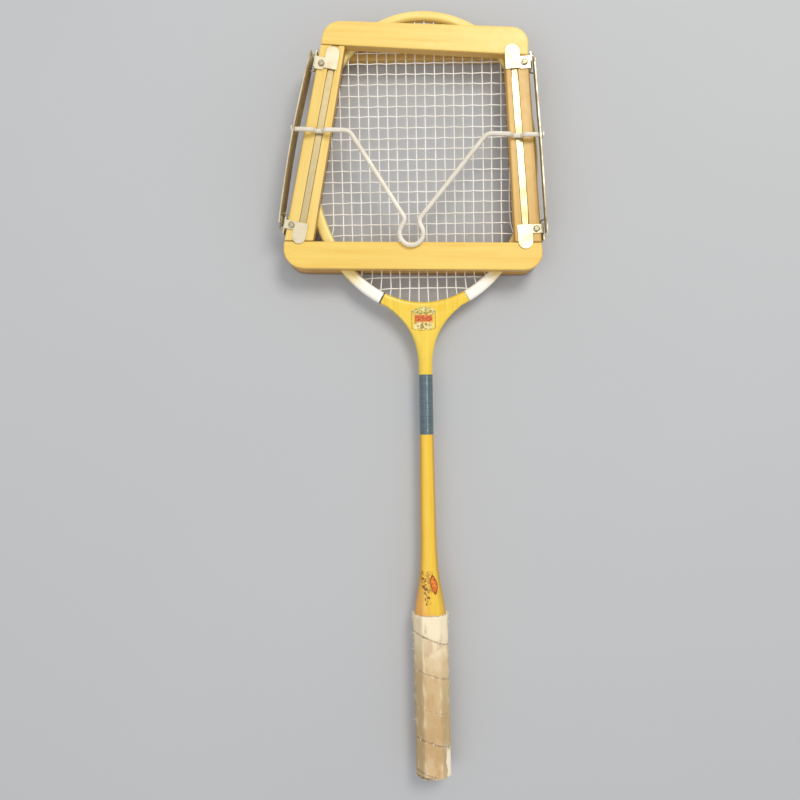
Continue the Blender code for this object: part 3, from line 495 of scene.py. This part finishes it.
def hoop_underside(x):
    """The hoop's lower outer edge at this distance from the axis."""
    turn = -math.pi / 2
    for _ in range(14):
        point = head_point(turn, hoop_width(turn) - 0.03)
        turn += (x - point.x) / (HEAD_INNER[0] + HOOP_WIDTHS[1])
    return point.y


def throat_emblem(paint, colour):
    """A plain crest transfer: a red band between two pale, leafy fields, inside thin dark lines."""
    x, y, z = drawing_place(paint)
    x, y = (paint.maths("SUBTRACT", place, middle) for place, middle in zip((x, y), EMBLEM_CENTRE))
    crumb = paint.spread(paint.noise(paint.place, 1100.0, 2.0), 0.34, 0.44)
    worn = paint.times(paint.spread(z, 2.0, 2.2), crumb)
    leaf = paint.noise(paint.join(x, y, 0.0), 0.36, 2.0, 0.6)
    vine = paint.noise(paint.join(x, y, 3.0), 0.45, 2.0, 0.6)
    arch = paint.maths("MULTIPLY_ADD", paint.maths("POWER", paint.maths("DIVIDE", x, 10.0), 2.0), 3.0, y)
    wings = paint.spot(x, arch, (0.0, 6.8), (10.6, 3.6), 0.5)
    wings = paint.times(wings, paint.spread(y, 3.2, 3.6))
    leafy = paint.mix(paint.spread(leaf, 0.42, 0.5), srgb(112, 92, 34), srgb(196, 190, 98))
    leafy = paint.mix(paint.spread(vine, 0.52, 0.6), leafy, srgb(238, 232, 196))
    point = paint.maths("MULTIPLY_ADD", paint.maths("POWER", paint.maths("DIVIDE", x, 9.0), 2.0), -1.4, y)
    foot = paint.spot(x, point, (0.0, -6.0), (7.8, 3.2), 0.3)
    lower = paint.mix(paint.spread(leaf, 0.46, 0.54), srgb(128, 110, 52), srgb(232, 222, 160))
    lower = paint.mix(paint.spread(vine, 0.54, 0.6), lower, srgb(246, 238, 196))
    band = paint.spot(x, y, (0.0, 0.4), (7.4, 2.7), 0.2)
    tone = paint.mix(paint.spread(leaf, 0.3, 0.7), srgb(184, 58, 28), srgb(206, 84, 40))
    trim = paint.spot(x, y, (0.0, 0.4), (8.6, 3.6), 0.2)
    sides = paint.spot(x, point, (0.0, -2.6), (10.3, 7.6), 0.2)
    inner = paint.spot(x, point, (0.0, -2.6), (9.7, 7.1), 0.2)
    rim = paint.times(paint.maths("SUBTRACT", sides, inner), paint.spread(vine, 0.36, 0.44))
    for mask, tint, share in ((wings, leafy, 0.9), (rim, srgb(116, 88, 26), 0.85), (foot, lower, 0.9),
                              (trim, srgb(236, 168, 66), 0.8), (band, tone, 1.0)):
        laid = paint.times(paint.times(mask, share), worn)
        colour = paint.mix(laid, colour, tint)
    return colour


def build_throat():
    """The wedge in the throat, running into the round neck."""
    across, stations, neck_rows = 44, 34, 3
    neck_length = NECK_Y - WHIPPING[0] + 1.0
    shoulder_x, shoulder_y = SHOULDER
    side = [SHOULDER, (15.5, 65.0), (7.2, 50.0), (NECK_RADIUS, NECK_Y)]
    rows = []
    for k in range(stations + neck_rows + 1):
        share = min(1.0, k / stations)
        edge = bezier(side, share)
        if k > stations:
            edge = Vector((NECK_RADIUS, NECK_Y - neck_length * (k - stations) / neck_rows))
        upper, lower = [], []
        for j in range(across + 1):
            out = -math.cos(math.pi * j / across)
            y = edge.y + (hoop_underside(shoulder_x * out) - shoulder_y) * (1 - share) ** 2
            flat = min(HOOP_HALF_DEPTH, 2.2 + (1 - abs(out)) * shoulder_x * 0.9)
            arc = math.sqrt(max(0.0, 1 - out * out))
            round_edge = min(1.0, arc * 2.6 + 0.35)
            height = max(0.05, flat * (1 - share) * round_edge + NECK_RADIUS * arc * share)
            if k == 0 and abs(out) < 0.93:
                height = HOOP_HALF_DEPTH - 0.05
            upper.append(world(edge.x * out, y, height))
            lower.append(world(edge.x * out, y, -height))
        rows.append(upper + lower[::-1])
    material = lacquered_ash("throat_wood", shaft_grain, *THROAT_YELLOWS, throat_emblem)
    made = skin("throat", rows, "racket", material, sharp=60.0)
    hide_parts("throat_wedge")


def octagon_radius(angle, half_width, half_height, softness=26.0):
    """Distance from the axis to an eight-sided section whose corners are slightly rounded."""
    flat_x, flat_z = half_width * 0.5, half_height * 0.42
    across, up = abs(math.cos(angle)) + 1e-6, abs(math.sin(angle)) + 1e-6
    normal = (half_height - flat_z, half_width - flat_x)
    slope = (normal[0] * half_width + normal[1] * flat_z) / (normal[0] * across + normal[1] * up)
    total = sum(reach ** -softness for reach in (half_width / across, half_height / up, slope))
    return total ** (-1.0 / softness)


def handle_ring(y, half_width, half_height, facets):
    """A ring round the shaft or handle: round where facets is 0, eight-sided where it is 1."""
    count, ring = 48, []
    for k in range(count):
        angle = 2 * math.pi * k / count
        reach = octagon_radius(angle, half_width, half_height)
        x = math.cos(angle) * (reach * facets + half_width * (1 - facets))
        z = math.sin(angle) * (reach * facets + half_height * (1 - facets))
        ring.append(world(x + lean(y), y, z))
    return ring


def cone_transfers_and_side_shade(paint, colour):
    """Small plain transfers on the cone: brown dabs, and an outlined orange oval; also painted shade, dark
    amber on the shaft's left and right sides and orange on the cone's lower left.
    """
    x, y, z = drawing_place(paint)
    above = paint.spread(z, 3.0, 3.5)
    low = paint.noise(paint.place, 60.0, 3.0)
    # Painted shade: faces turned to the left or right go toward dark amber.
    colour = paint.mix(paint.spread(paint.facing(0), 0.55, 0.98, 0.0, 0.75), colour, srgb(184, 122, 26))
    # Painted shade: a patchy, darker orange over the lower left of the cone, stronger toward its wide end.
    tint = paint.times(paint.spread(y, -150.0, -184.0), paint.spread(x, 5.0, -7.0))
    colour = paint.mix(paint.times(tint, paint.spread(low, 0.3, 0.6, 0.35, 0.8)), colour,
                       srgb(226, 158, 84))
    slant = paint.maths("MULTIPLY_ADD", y, 0.16, x)
    crumb = paint.noise(paint.place, 1300.0, 2.0)
    blotch = paint.noise(paint.join(slant, y, 0.0), 0.42, 2.0, 0.6, 0.8)
    stroke = paint.spread(blotch, 0.49, 0.55)
    marks = paint.times(paint.spot(slant, y, (-29.4, -163.0), (2.3, 14.5), 0.4),
                        paint.times(stroke, paint.spread(crumb, 0.34, 0.46)))
    wash = paint.times(paint.spot(slant, y, (-27.0, -158.0), (5.5, 8.5), 1.5),
                       paint.spread(blotch, 0.44, 0.54, 0.0, 0.7))
    colour = paint.mix(paint.times(wash, above), colour, srgb(172, 104, 34))
    colour = paint.mix(paint.times(marks, above), colour, srgb(112, 66, 26))
    powers = []
    for place, middle, half in zip((slant, y), OVAL_CENTRE, OVAL_HALF):
        share = paint.maths("DIVIDE", paint.maths("SUBTRACT", place, middle), half)
        powers.append(paint.maths("POWER", paint.maths("ABSOLUTE", share), 1.5))
    away = paint.maths("ADD", *powers)
    rim = paint.times(paint.spread(away, 0.94, 1.06, 1.0, 0.0), above)
    heart = paint.times(paint.spread(away, 0.66, 0.8, 1.0, 0.0), above)
    flame = paint.mix(paint.spread(blotch, 0.44, 0.56), srgb(206, 84, 20), srgb(238, 138, 44))
    colour = paint.mix(rim, colour, srgb(132, 60, 20))
    return paint.mix(paint.times(heart, paint.spread(crumb, 0.3, 0.4)), colour, flame)


def eased(before, start, end, after, share):
    """A smooth curve's value between start and end, and a straight one's where before is start."""
    if before == start:
        return start + (end - start) * share
    square = 2 * before - 5 * start + 4 * end - after
    cube = 3 * start - before - 3 * end + after
    return 0.5 * (2 * start + (end - before) * share + square * share ** 2 + cube * share ** 3)


def build_shaft():
    """The shaft and its flared cone, from stations of y, half width, half height and share of facets."""
    per_station = 6
    stations = [(-32.0, 5.8, 5.8, 0.0), (-36.0, 6.05, 6.05, 0.0), (-100.0, 6.6, 6.6, 0.0),
                (-124.0, 6.85, 6.8, 0.0), (-140.0, 7.4, 7.3, 0.0), (-150.0, 8.1, 7.9, 0.1),
                (-160.0, 9.3, 8.8, 0.35), (-170.0, 10.9, 9.9, 0.65), (-179.0, 12.4, 10.9, 0.9),
                (-187.5, 13.3, 11.6, 1.0)]
    rows = []
    for index in range(len(stations) - 1):
        before = stations[max(0, index - 1)]
        start, end = stations[index], stations[index + 1]
        after = stations[min(len(stations) - 1, index + 2)]
        for k in range(per_station):
            share = k / per_station
            values = [eased(*four, share) for four in zip(before, start, end, after)]
            y = start[0] + (end[0] - start[0]) * share
            facets = min(1.0, max(0.0, values[3]))
            rows.append(handle_ring(y, values[1], values[2], facets))
    rows.append(handle_ring(*stations[-1]))
    material = lacquered_ash("shaft_wood", shaft_grain, (244, 203, 66), (236, 184, 44), cone_transfers_and_side_shade)
    made = skin("shaft_and_cone", rows, "racket", material, caps=(0, -1), sharp=30.0)
    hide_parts("shaft")


def build_whipping():
    """Thread wound side by side and lacquered over."""
    top, low, radius = WHIPPING
    pitch, points = 0.62, 40
    rows = []
    steps = int((top - low) / pitch) * 5
    for k in range(steps + 1):
        y = top - (top - low) * k / steps
        swell = abs(math.sin(math.pi * (top - y) / pitch)) * 0.11
        near_end = min(1.0, min(top - y, y - low) / 0.5)
        reach = radius - 0.14 - 0.45 * (1 - near_end) + swell
        rows.append([world(reach * math.cos(a), y, reach * math.sin(a))
                     for a in (2 * math.pi * j / points for j in range(points))])
    paint = Paint("whipping_thread", roughness=0.35, coat=1.0, coat_roughness=0.07)
    tone = paint.noise(paint.warp(paint.place, (60.0, 1700.0, 60.0)), detail=2.0)
    wear = paint.noise(paint.place, 240.0, 3.0)
    fibre = paint.noise(paint.warp(paint.place, (2600.0, 600.0, 2600.0)), detail=2.0)
    colour = paint.mix(paint.spread(tone, 0.3, 0.7), srgb(60, 84, 92), srgb(84, 106, 112))
    colour = paint.mix(paint.spread(wear, 0.62, 0.72, 0.0, 0.3), colour, srgb(150, 166, 162))
    material = paint.finish(colour, paint.spread(wear, 0.3, 0.7, 0.28, 0.5), fibre, 0.00004)
    made = skin("whipping_thread", rows, "racket", material, caps=(0, -1), sharp=60.0)
    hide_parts("shaft_whipping")


def string_turns(position, across):
    """The two turns on the hoop where a string at this offset from the head's centre is held."""
    half_width, half_length = HEAD_INNER[0] - STRING_INSET, HEAD_INNER[1] - STRING_INSET
    if across:
        high = math.acos(position / half_width)
        return settle(-high, position, 0), settle(high, position, 0)
    right = math.asin(position / half_length)
    return settle(math.pi - right, position, 1), settle(right, position, 1)


def settle(turn, position, axis):
    """Move a turn on the hoop until the string's end there has this offset from the head's centre."""
    half_width, half_length = HEAD_INNER
    for _ in range(10):
        slope = half_length * math.cos(turn) if axis else -half_width * math.sin(turn)
        turn += (HEAD_CENTRE[axis] + position - head_point(turn, -STRING_INSET)[axis]) / slope
    return turn


def build_strings():
    """Mains and crosses woven over and under each other, and their turns in the hoop's groove."""
    mains = [(k - (MAIN_COUNT - 1) / 2) * MAIN_PITCH for k in range(MAIN_COUNT)]
    crosses = [CROSS_FIRST + k * CROSS_PITCH - HEAD_CENTRE[1] for k in range(CROSS_COUNT)]
    paint = Paint("string_gut", roughness=0.38, coat=0.3, coat_roughness=0.2)
    twist = paint.noise(paint.place, 2600.0, 2.0)
    age = paint.noise(paint.place, 46.0, 3.0)
    colour = paint.mix(paint.spread(age, 0.35, 0.7), srgb(253, 250, 244), srgb(244, 238, 224))
    colour = paint.mix(paint.spread(twist, 0.55, 0.75, 0.0, 0.3), colour, srgb(222, 212, 194))
    material = paint.finish(colour, paint.spread(age, 0.3, 0.7, 0.32, 0.5), twist, 0.00006)
    for name, node, places, others, across in (("mains_woven", "main_strings", mains, crosses, True),
                                               ("crosses_woven", "cross_strings", crosses, mains, False)):
        paths = [weave(k, places[k], others, across) for k in range(len(places))]
        joined = []
        for k, path in enumerate(paths):
            run = path if k % 2 == 0 else path[::-1]
            if joined:
                joined.extend(groove_run(places[k - 1], places[k], across, k % 2))
            joined.extend(run)
        made = wires(name, [joined], STRING_RADIUS, "racket", material, 2)
        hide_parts(node)
    build_hole_shade(mains, crosses)


def weave(index, position, others, across):
    """One string from hoop to hoop, from the bottom up or from left to right."""
    clear, per_crossing = 2.2, 4
    start, end = string_turns(position, across)
    level = STRING_LEVEL if across else -STRING_LEVEL
    sway = 0.28 * math.sin(index * 2.399 + 0.7)
    tilt = -2.0 if across and index == MAIN_COUNT - 1 else 0.5 * math.sin(index * 1.7)
    inner = [head_point(start, -0.6), head_point(end, -0.6)]
    path = [world(*head_point(start, hoop_width(start) - 0.9), level), world(*inner[0], level)]
    crossing = []
    run = 1 if across else 0
    for k, other in enumerate(others):
        place = other + HEAD_CENTRE[run]
        if inner[0][run] + clear < place < inner[1][run] - clear:
            crossing.append((place, k))
    fixed = position + HEAD_CENTRE[1 - run]
    span = inner[1][run] - inner[0][run]
    for number, (place, k) in enumerate(crossing):
        side = 1 if (k + index + (0 if across else 1)) % 2 else -1
        following = crossing[number + 1][0] if number + 1 < len(crossing) else None
        for step in range(per_crossing if following else 1):
            share = step / per_crossing
            along = place + ((following or place) - place) * share
            height = side * WEAVE * math.cos(math.pi * share)
            part = (along - inner[0][run]) / span
            off = sway * math.sin(math.pi * part)
            off += tilt * (1 - part) * math.sin(math.pi * min(1, part * 4) / 2)
            if across:
                off += (fixed - HEAD_CENTRE[0]) * 0.00016 * (along - 203.0)
            flat = (fixed + off, along) if across else (along, fixed + off)
            path.append(world(*flat, height))
    path.append(world(*inner[1], level))
    path.append(world(*head_point(end, hoop_width(end) - 0.9), level))
    return path


def groove_run(last, position, across, end):
    """The short run in the groove from one hole to the next, at the strings' first or second end."""
    level = STRING_LEVEL if across else -STRING_LEVEL
    first = string_turns(last, across)[end]
    final = string_turns(position, across)[end]
    gap = (final - first + math.pi) % (2 * math.pi) - math.pi
    run = []
    for k in (1, 2, 3):
        turn = first + gap * k / 4
        run.append(world(*head_point(turn, hoop_width(turn) - 0.75), level))
    return run


def build_hole_shade(mains, crosses):
    """Dark discs on the hoop's inner face: painted shade for the shadowed insides of the string holes."""
    points, faces = [], []
    radius, corners = 0.85, 12
    for places, across, level in ((mains, True, STRING_LEVEL), (crosses, False, -STRING_LEVEL)):
        for position in places:
            for turn in string_turns(position, across):
                middle = head_point(turn, -0.04)
                inward = (head_point(turn, 1.0) - head_point(turn, 0.0)).normalized()
                side = Vector((-inward.y, inward.x))
                start = len(points)
                for k in range(corners):
                    angle = 2 * math.pi * k / corners
                    flat = middle + side * (radius * math.cos(angle))
                    points.append(Vector(world(*flat, level + radius * math.sin(angle))) * MM)
                faces.append(tuple(range(start, start + corners)))
    mesh = bpy.data.meshes.new("string_hole_shade")
    mesh.from_pydata(points, [], faces)
    paint = Paint("hole_shadow", roughness=0.8)
    colour = paint.mix(paint.noise(paint.place, 900.0), srgb(70, 44, 18), srgb(112, 74, 30))
    mesh.materials.append(paint.finish(colour, bump=paint.noise(paint.place, 1500.0)))
    made = placed("string_hole_shade", mesh)
    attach(made, "racket")


# ---- grip

# Seams by their depth below the grip's top: at the left edge, how far each falls across the front, and
# how marked it is
SEAM_STARTS = (-16.5, 14.2, 45.2, 76.2, 103.2, 131.2, 160.0)
SEAM_FALLS = (12.4, 12.4, 10.5, 9.3, 9.3, 9.3, 9.3)
SEAM_DEPTHS = (0.0, 1.0, 0.75, 0.35, 0.9, 0.8, 0.0)
WOUND = GRIP_TOP - BUTT
RIM_ROWS = 4
CLOSING = (0.25, 0.55, 0.8, 0.97)


def nearest_seam(x, z, depth):
    """Distance to the nearest seam, how marked it is, and the distance below the last one."""
    share = min(1.0, max(0.0, (x / GRIP_HALF[0] + 1) / 2))
    best, marked, below = 99.0, 0.0, 99.0
    for k in range(len(SEAM_STARTS) - 1):
        place = SEAM_STARTS[k] + SEAM_FALLS[k] * share
        if z < 0:
            rest = SEAM_STARTS[k + 1] - SEAM_STARTS[k] - SEAM_FALLS[k]
            place = SEAM_STARTS[k] + SEAM_FALLS[k] + rest * (1 - share)
        place += 0.5 * noise.noise(Vector((x * 0.22, k * 7.3, z * 0.22)))
        if abs(depth - place) < best:
            best, marked = abs(depth - place), SEAM_DEPTHS[k]
        if 0 <= depth - place < below:
            below = depth - place
    return best, marked, below


def build_grip():
    """The leather strip wound down the handle: overlapping seams, soft corners and frayed rims."""
    count, rows_count = 176, 230
    rows, seam, ridge, fray = [], [], [], []
    half_width, half_height = GRIP_HALF
    for r in range(-1, rows_count + len(CLOSING) + 1):
        share = min(1.0, max(0.0, r / rows_count))
        row = []
        for c in range(count):
            angle = 2 * math.pi * c / count
            reach = octagon_radius(angle, half_width - 0.25, half_height - 0.25, 22.0)
            x, z = reach * math.cos(angle), reach * math.sin(angle)
            y = GRIP_TOP - 0.3 - (WOUND - 0.45) * share
            spot = Vector((x, y, z))
            torn = noise.noise(spot * 0.9) * 0.8 + noise.noise(spot * 2.3) * 0.5
            if r < RIM_ROWS:
                y += (torn - 0.5) * 0.9 * (1 - max(0, r) / RIM_ROWS)
            near, marked, below = nearest_seam(x, z, GRIP_TOP - y)
            width = 0.58 + 0.22 * noise.noise(spot * 0.5)
            lap = 0.2 * math.exp(-below / 3.0) * marked + 0.12 * noise.noise(spot * 0.16)
            groove = math.exp(-(near / width) ** 2)
            crease = 0.05 * noise.noise(Vector((x * 0.5, y * 0.9, z * 0.5)))
            inset = 0.25 * (1 - math.exp(-share * WOUND / 0.8))
            end = max(0.0, 1 - (1 - share) * WOUND / 1.6)
            reach += lap - 0.34 * marked * groove + crease + inset * 0.4 - end * end
            if r > rows_count:
                reach *= 1.0 - CLOSING[r - rows_count - 1]
            if r < 0:
                reach *= 0.91
            row.append(world(reach * math.cos(angle) + lean(y), y, reach * math.sin(angle)))
            patchy = 0.75 + 0.6 * noise.noise(spot * 0.28)
            seam.append(min(1.0, max(0.0, marked * patchy)) * groove)
            flat = octagon_radius(angle, half_width, half_height, 200.0) - octagon_radius(
                angle, half_width, half_height, 16.0)
            chipped = max(0.0, noise.noise(Vector((x * 0.3, y * 0.11, z * 0.3))) + 0.05)
            ridge.append(min(1.0, min(1.0, flat / 0.42) * chipped * 1.3))
            rim = math.exp(-share * WOUND / 1.3) + 0.6 * math.exp(-(1 - share) * WOUND)
            flake = max(0.0, torn - 0.16) * 2.8 * math.exp(-max(0.0, near - 0.6)) * marked
            fray.append(min(1.0, rim * (0.7 + 0.6 * torn) + flake))
        rows.append(row)
    made = skin("grip_strip", rows, "racket", leather(), caps=(-1,), sharp=70.0,
                marks={"seam": seam, "ridge": ridge, "fray": fray})
    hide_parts("grip_wrap")
    build_fray(rows)


def leather():
    """Worn leather: cream at the top, tan and stained lower down, pale where it's torn, with painted shade on
    its left bevel and along the left of its butt end.
    """
    paint = Paint("grip_leather", roughness=0.8, specular=0.2)
    marks = {key: paint.node("ShaderNodeAttribute", attribute_name=key).outputs["Fac"]
             for key in ("seam", "ridge", "fray")}
    x, down, z = drawing_place(paint)
    x = paint.maths("ADD", x, paint.times(paint.maths("ADD", down, 100.0), HANDLE_LEAN[1]))
    cloud = paint.noise(paint.place, 70.0, 4.0, 0.6)
    pebble = paint.noise(paint.place, 1300.0, 3.0, 0.6)
    stain = paint.noise(paint.warp(paint.place, (110.0, 45.0, 110.0)), detail=3.0, roughness=0.55)
    sway = paint.times(paint.maths("SUBTRACT", cloud, 0.5), 40.0)
    shifted = paint.maths("ADD", sway, down)
    colour = paint.mix(paint.spread(shifted, -200.0, -244.0), srgb(250, 234, 200), srgb(214, 184, 138))
    colour = paint.mix(paint.spread(shifted, -248.0, -290.0, 0.0, 0.9), colour, srgb(200, 166, 118))
    colour = paint.mix(paint.spread(shifted, -304.0, -320.0, 0.0, 0.8), colour, srgb(224, 192, 148))
    colour = paint.mix(paint.spread(stain, 0.53, 0.66, 0.0, 0.45), colour, srgb(184, 144, 94))
    colour = paint.mix(paint.spread(stain, 0.44, 0.3, 0.0, 0.3), colour, srgb(234, 214, 178))
    greyed = paint.times(paint.spread(x, 7.4, 7.8), paint.spread(down, -225.0, -260.0))
    colour = paint.mix(paint.times(greyed, 0.5), colour, srgb(186, 166, 124))
    # Painted shade: the upper left bevel is darkened, more so lower down the grip.
    left_bevel_shade = paint.times(paint.spread(x, -7.2, -7.8), paint.spread(z, 2.0, 4.0))
    deeper = paint.spread(down, -200.0, -250.0, 0.4, 0.8)
    colour = paint.mix(paint.times(left_bevel_shade, deeper), colour, srgb(176, 152, 112))
    colour = paint.mix(paint.spread(pebble, 0.55, 0.72, 0.0, 0.22), colour, srgb(172, 140, 98))
    colour = paint.mix(paint.times(marks["ridge"], 0.7), colour, srgb(240, 222, 186))
    colour = paint.mix(paint.times(marks["seam"], 0.92), colour, srgb(92, 60, 30))
    colour = paint.mix(marks["fray"], colour, srgb(250, 241, 220))
    ragged = paint.maths("MULTIPLY_ADD", sway, 0.12, x)
    tall = paint.maths("MULTIPLY_ADD", paint.maths("SUBTRACT", stain, 0.5), 26.0, z)
    corner = paint.times(paint.spread(ragged, 10.6, 11.6), paint.spread(tall, -1.0, 1.5))
    corner = paint.times(corner, paint.spread(shifted, -296.0, -302.0))
    colour = paint.mix(corner, colour, srgb(252, 241, 216))
    # Painted shade: a dark line along the left part of the grip's butt end.
    rim = paint.times(paint.spread(x, 2.0, -6.0), paint.spread(down, -321.4, -322.4))
    colour = paint.mix(paint.times(rim, 0.75), colour, srgb(112, 88, 58))
    height = paint.maths("MULTIPLY_ADD", cloud, 0.6, paint.times(pebble, 0.5))
    return paint.finish(colour, paint.spread(cloud, 0.3, 0.7, 0.66, 0.9), height, 0.0002)


def build_fray(rows):
    """Loose fibres that stand off the grip's rims, corners and seams."""
    paths = []
    count = len(rows[0])
    top_row, butt_row, along_sides = 1, len(rows) - 8, 190
    fibres, top_fibres, butt_fibres = 190, 64, 36
    for k in range(fibres):
        jump = (k * 0.61803) % 1.0
        spin = (k * 0.75488) % 1.0
        r, c = top_row, int(jump * count)
        on_side = k >= top_fibres + butt_fibres
        if on_side:
            r = int(4 + spin ** 3 * along_sides)
            c = int(count * (0.0 if k % 2 else 0.5) + (jump - 0.5) * 24) % count
        elif k >= top_fibres:
            r = butt_row
        start = Vector(rows[r][c])
        middle = Vector(world(lean(start.y), start.y - AXIS_Y, 0))
        out = (start - middle).normalized()
        if start.z - PLANE_Z < -10.0:
            continue
        sway = Vector((math.sin(k * 2.1), math.sin(k * 1.3), math.cos(k * 3.7))) * 0.5
        length = 0.7 + 1.5 * ((k * 0.3819) % 1.0)
        if on_side:
            way = out * 0.7 + sway * 1.4
        elif r == top_row:
            way = Vector((0.0, 0.8, 0.0)) + out * 0.35 + sway
        else:
            way = out * 0.6 + sway
        tip = start + way.normalized() * length
        tip.y = max(tip.y, BUTT + AXIS_Y + 0.1)
        bend = start + way.normalized() * length * 0.5 + sway.cross(way) * 0.3
        paths.append([start - out * 0.3, bend, tip])
    paint = Paint("fray_fibre", roughness=0.9, specular=0.2)
    shade = paint.noise(paint.place, 700.0)
    material = paint.finish(paint.mix(shade, srgb(252, 246, 230), srgb(226, 206, 168)), bump=shade)
    made = wires("grip_fray", paths, 0.2, "racket", material, 0)


# ---- press finishes

def edge_turn(low, high):
    """The direction of a board from the middle of one node's box to another's."""
    first, last = ([sum(c[i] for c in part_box(n)) / 2 for i in (0, 1)] for n in (low, high))
    return math.atan2(last[1] - first[1], last[0] - first[0])


def finish_press():
    """Wood and metal on the press's own nodes."""
    smooth = smooth_by_angle()
    left = edge_turn("front_bracket_bottom_left", "front_bracket_top_left")
    right = edge_turn("front_bracket_bottom_right", "front_bracket_top_right")
    top = math.radians(-3.5)
    bottom = math.radians(-1.0)
    # Painted shade: darker colours for each board's upright side faces.
    dark_side_shade, gold_side_shade, brown_side_shade = (160, 118, 50), (206, 158, 78), (140, 98, 42)
    woods = {
        "front_top_rail": (top, (243, 212, 120), (236, 196, 96), gold_side_shade),
        "front_bottom_rail": (bottom, (243, 208, 108), (234, 188, 82), gold_side_shade),
        "front_left_stile": (left, (244, 213, 126), (234, 190, 92), dark_side_shade),
        "front_right_stile": (right, (222, 182, 100), (202, 152, 72), gold_side_shade),
        # Painted shade: the rear boards take darker tones than the front ones, for the shade in the gap
        # between the frames.
        "rear_top_rail": (top, (222, 182, 104), (204, 160, 84), (212, 170, 94)),
        "rear_bottom_rail": (bottom, (206, 162, 84), (180, 134, 62), brown_side_shade),
        "rear_left_stile": (left, (206, 162, 84), (180, 134, 62), brown_side_shade),
        "rear_right_stile": (right, (206, 162, 84), (180, 134, 62), brown_side_shade),
    }
    for seed, (node, (turn, pale, deep, side)) in enumerate(woods.items()):
        coat(node, board_wood(f"{node}_wood", turn, pale, deep, 0.37 * seed, side))
        soften(node, 0, smooth)
    plate = worn_metal("bracket_plate", (226, 216, 188), (206, 194, 162), 0.36, 0.52, 0.35, turn=left)
    strap = worn_metal("strap_plate", (210, 202, 178), (180, 170, 144), 0.4, 0.56, 0.45, turn=left)
    leaf = worn_metal("leaf_plate", (216, 198, 152), (192, 172, 126), 0.3, 0.44, 0.25, turn=left)
    screw = worn_metal("screw_plate", (206, 196, 166), (166, 154, 120), 0.35, 0.55, 0.6)
    zinc = worn_metal("lever_zinc", (240, 234, 220), (226, 217, 198), 0.46, 0.6, 0.08, metallic=0.3)
    finishes = {"bracket": (plate, 0.18), "strap": (strap, 0.15), "leaf": (leaf, 0.15),
                "screw": (screw, 0.08), "ring": (screw, 0), "lever": (zinc, 0)}
    for node in frame["nodes"]:
        for word, (material, width) in finishes.items():
            if word in node.split("_"):
                coat(node, material)
                soften(node, width, smooth)
    coat("handle_block", lacquered_ash("block_wood", shaft_grain, (226, 190, 130), (206, 164, 104)))


# ---- stage

def build_stage():
    """Pale floor, soft light and the camera."""
    corners = [(x, y, FLOOR_LEVEL) for x, y in ((-FLOOR_HALF, -FLOOR_HALF), (FLOOR_HALF, -FLOOR_HALF),
                                                (FLOOR_HALF, FLOOR_HALF), (-FLOOR_HALF, FLOOR_HALF))]
    mesh = bpy.data.meshes.new("floor")
    mesh.from_pydata(corners, [], [(0, 1, 2, 3)])
    paint = Paint("floor_paper", roughness=0.9, specular=0.1)
    tone = paint.noise(paint.place, 3.0, 2.0)
    mesh.materials.append(paint.finish(paint.mix(tone, srgb(188, 189, 191), srgb(193, 194, 195))))
    placed("floor", mesh)

    studio = bpy.data.worlds.new("studio")
    studio.use_nodes = True
    background = studio.node_tree.nodes["Background"].inputs
    background["Color"].default_value = (0.96, 0.97, 1.0, 1.0)
    background["Strength"].default_value = 0.62
    bpy.context.scene.world = studio
    aim = Vector((0.0, 0.1, 0.0))
    for name, place, across, power, colour in (
            ("key", (0.55, 0.95, 1.65), 0.7, 18.0, (1.0, 0.97, 0.9)),
            ("fill", (-0.9, -0.5, 1.9), 1.4, 7.0, (0.95, 0.97, 1.0))):
        light = bpy.data.lights.new(name, "AREA")
        light.size, light.energy, light.color = across, power, colour
        holder = placed(name, light)
        holder.location = place
        holder.rotation_euler = (aim - Vector(place)).to_track_quat("-Z", "Y").to_euler()

    view = bpy.data.cameras.new("camera")
    view.sensor_width, view.lens = 36.0, CAMERA_LENS
    camera = placed("camera", view)
    camera.location = CAMERA_PLACE
    camera.rotation_euler = (0.0, 0.0, CAMERA_TURN)
    bpy.context.scene.camera = camera
    bpy.context.scene.view_settings.view_transform = "Standard"


build_stage()
build_hoop()
build_throat()
build_shaft()
build_whipping()
build_strings()
build_grip()
finish_press()
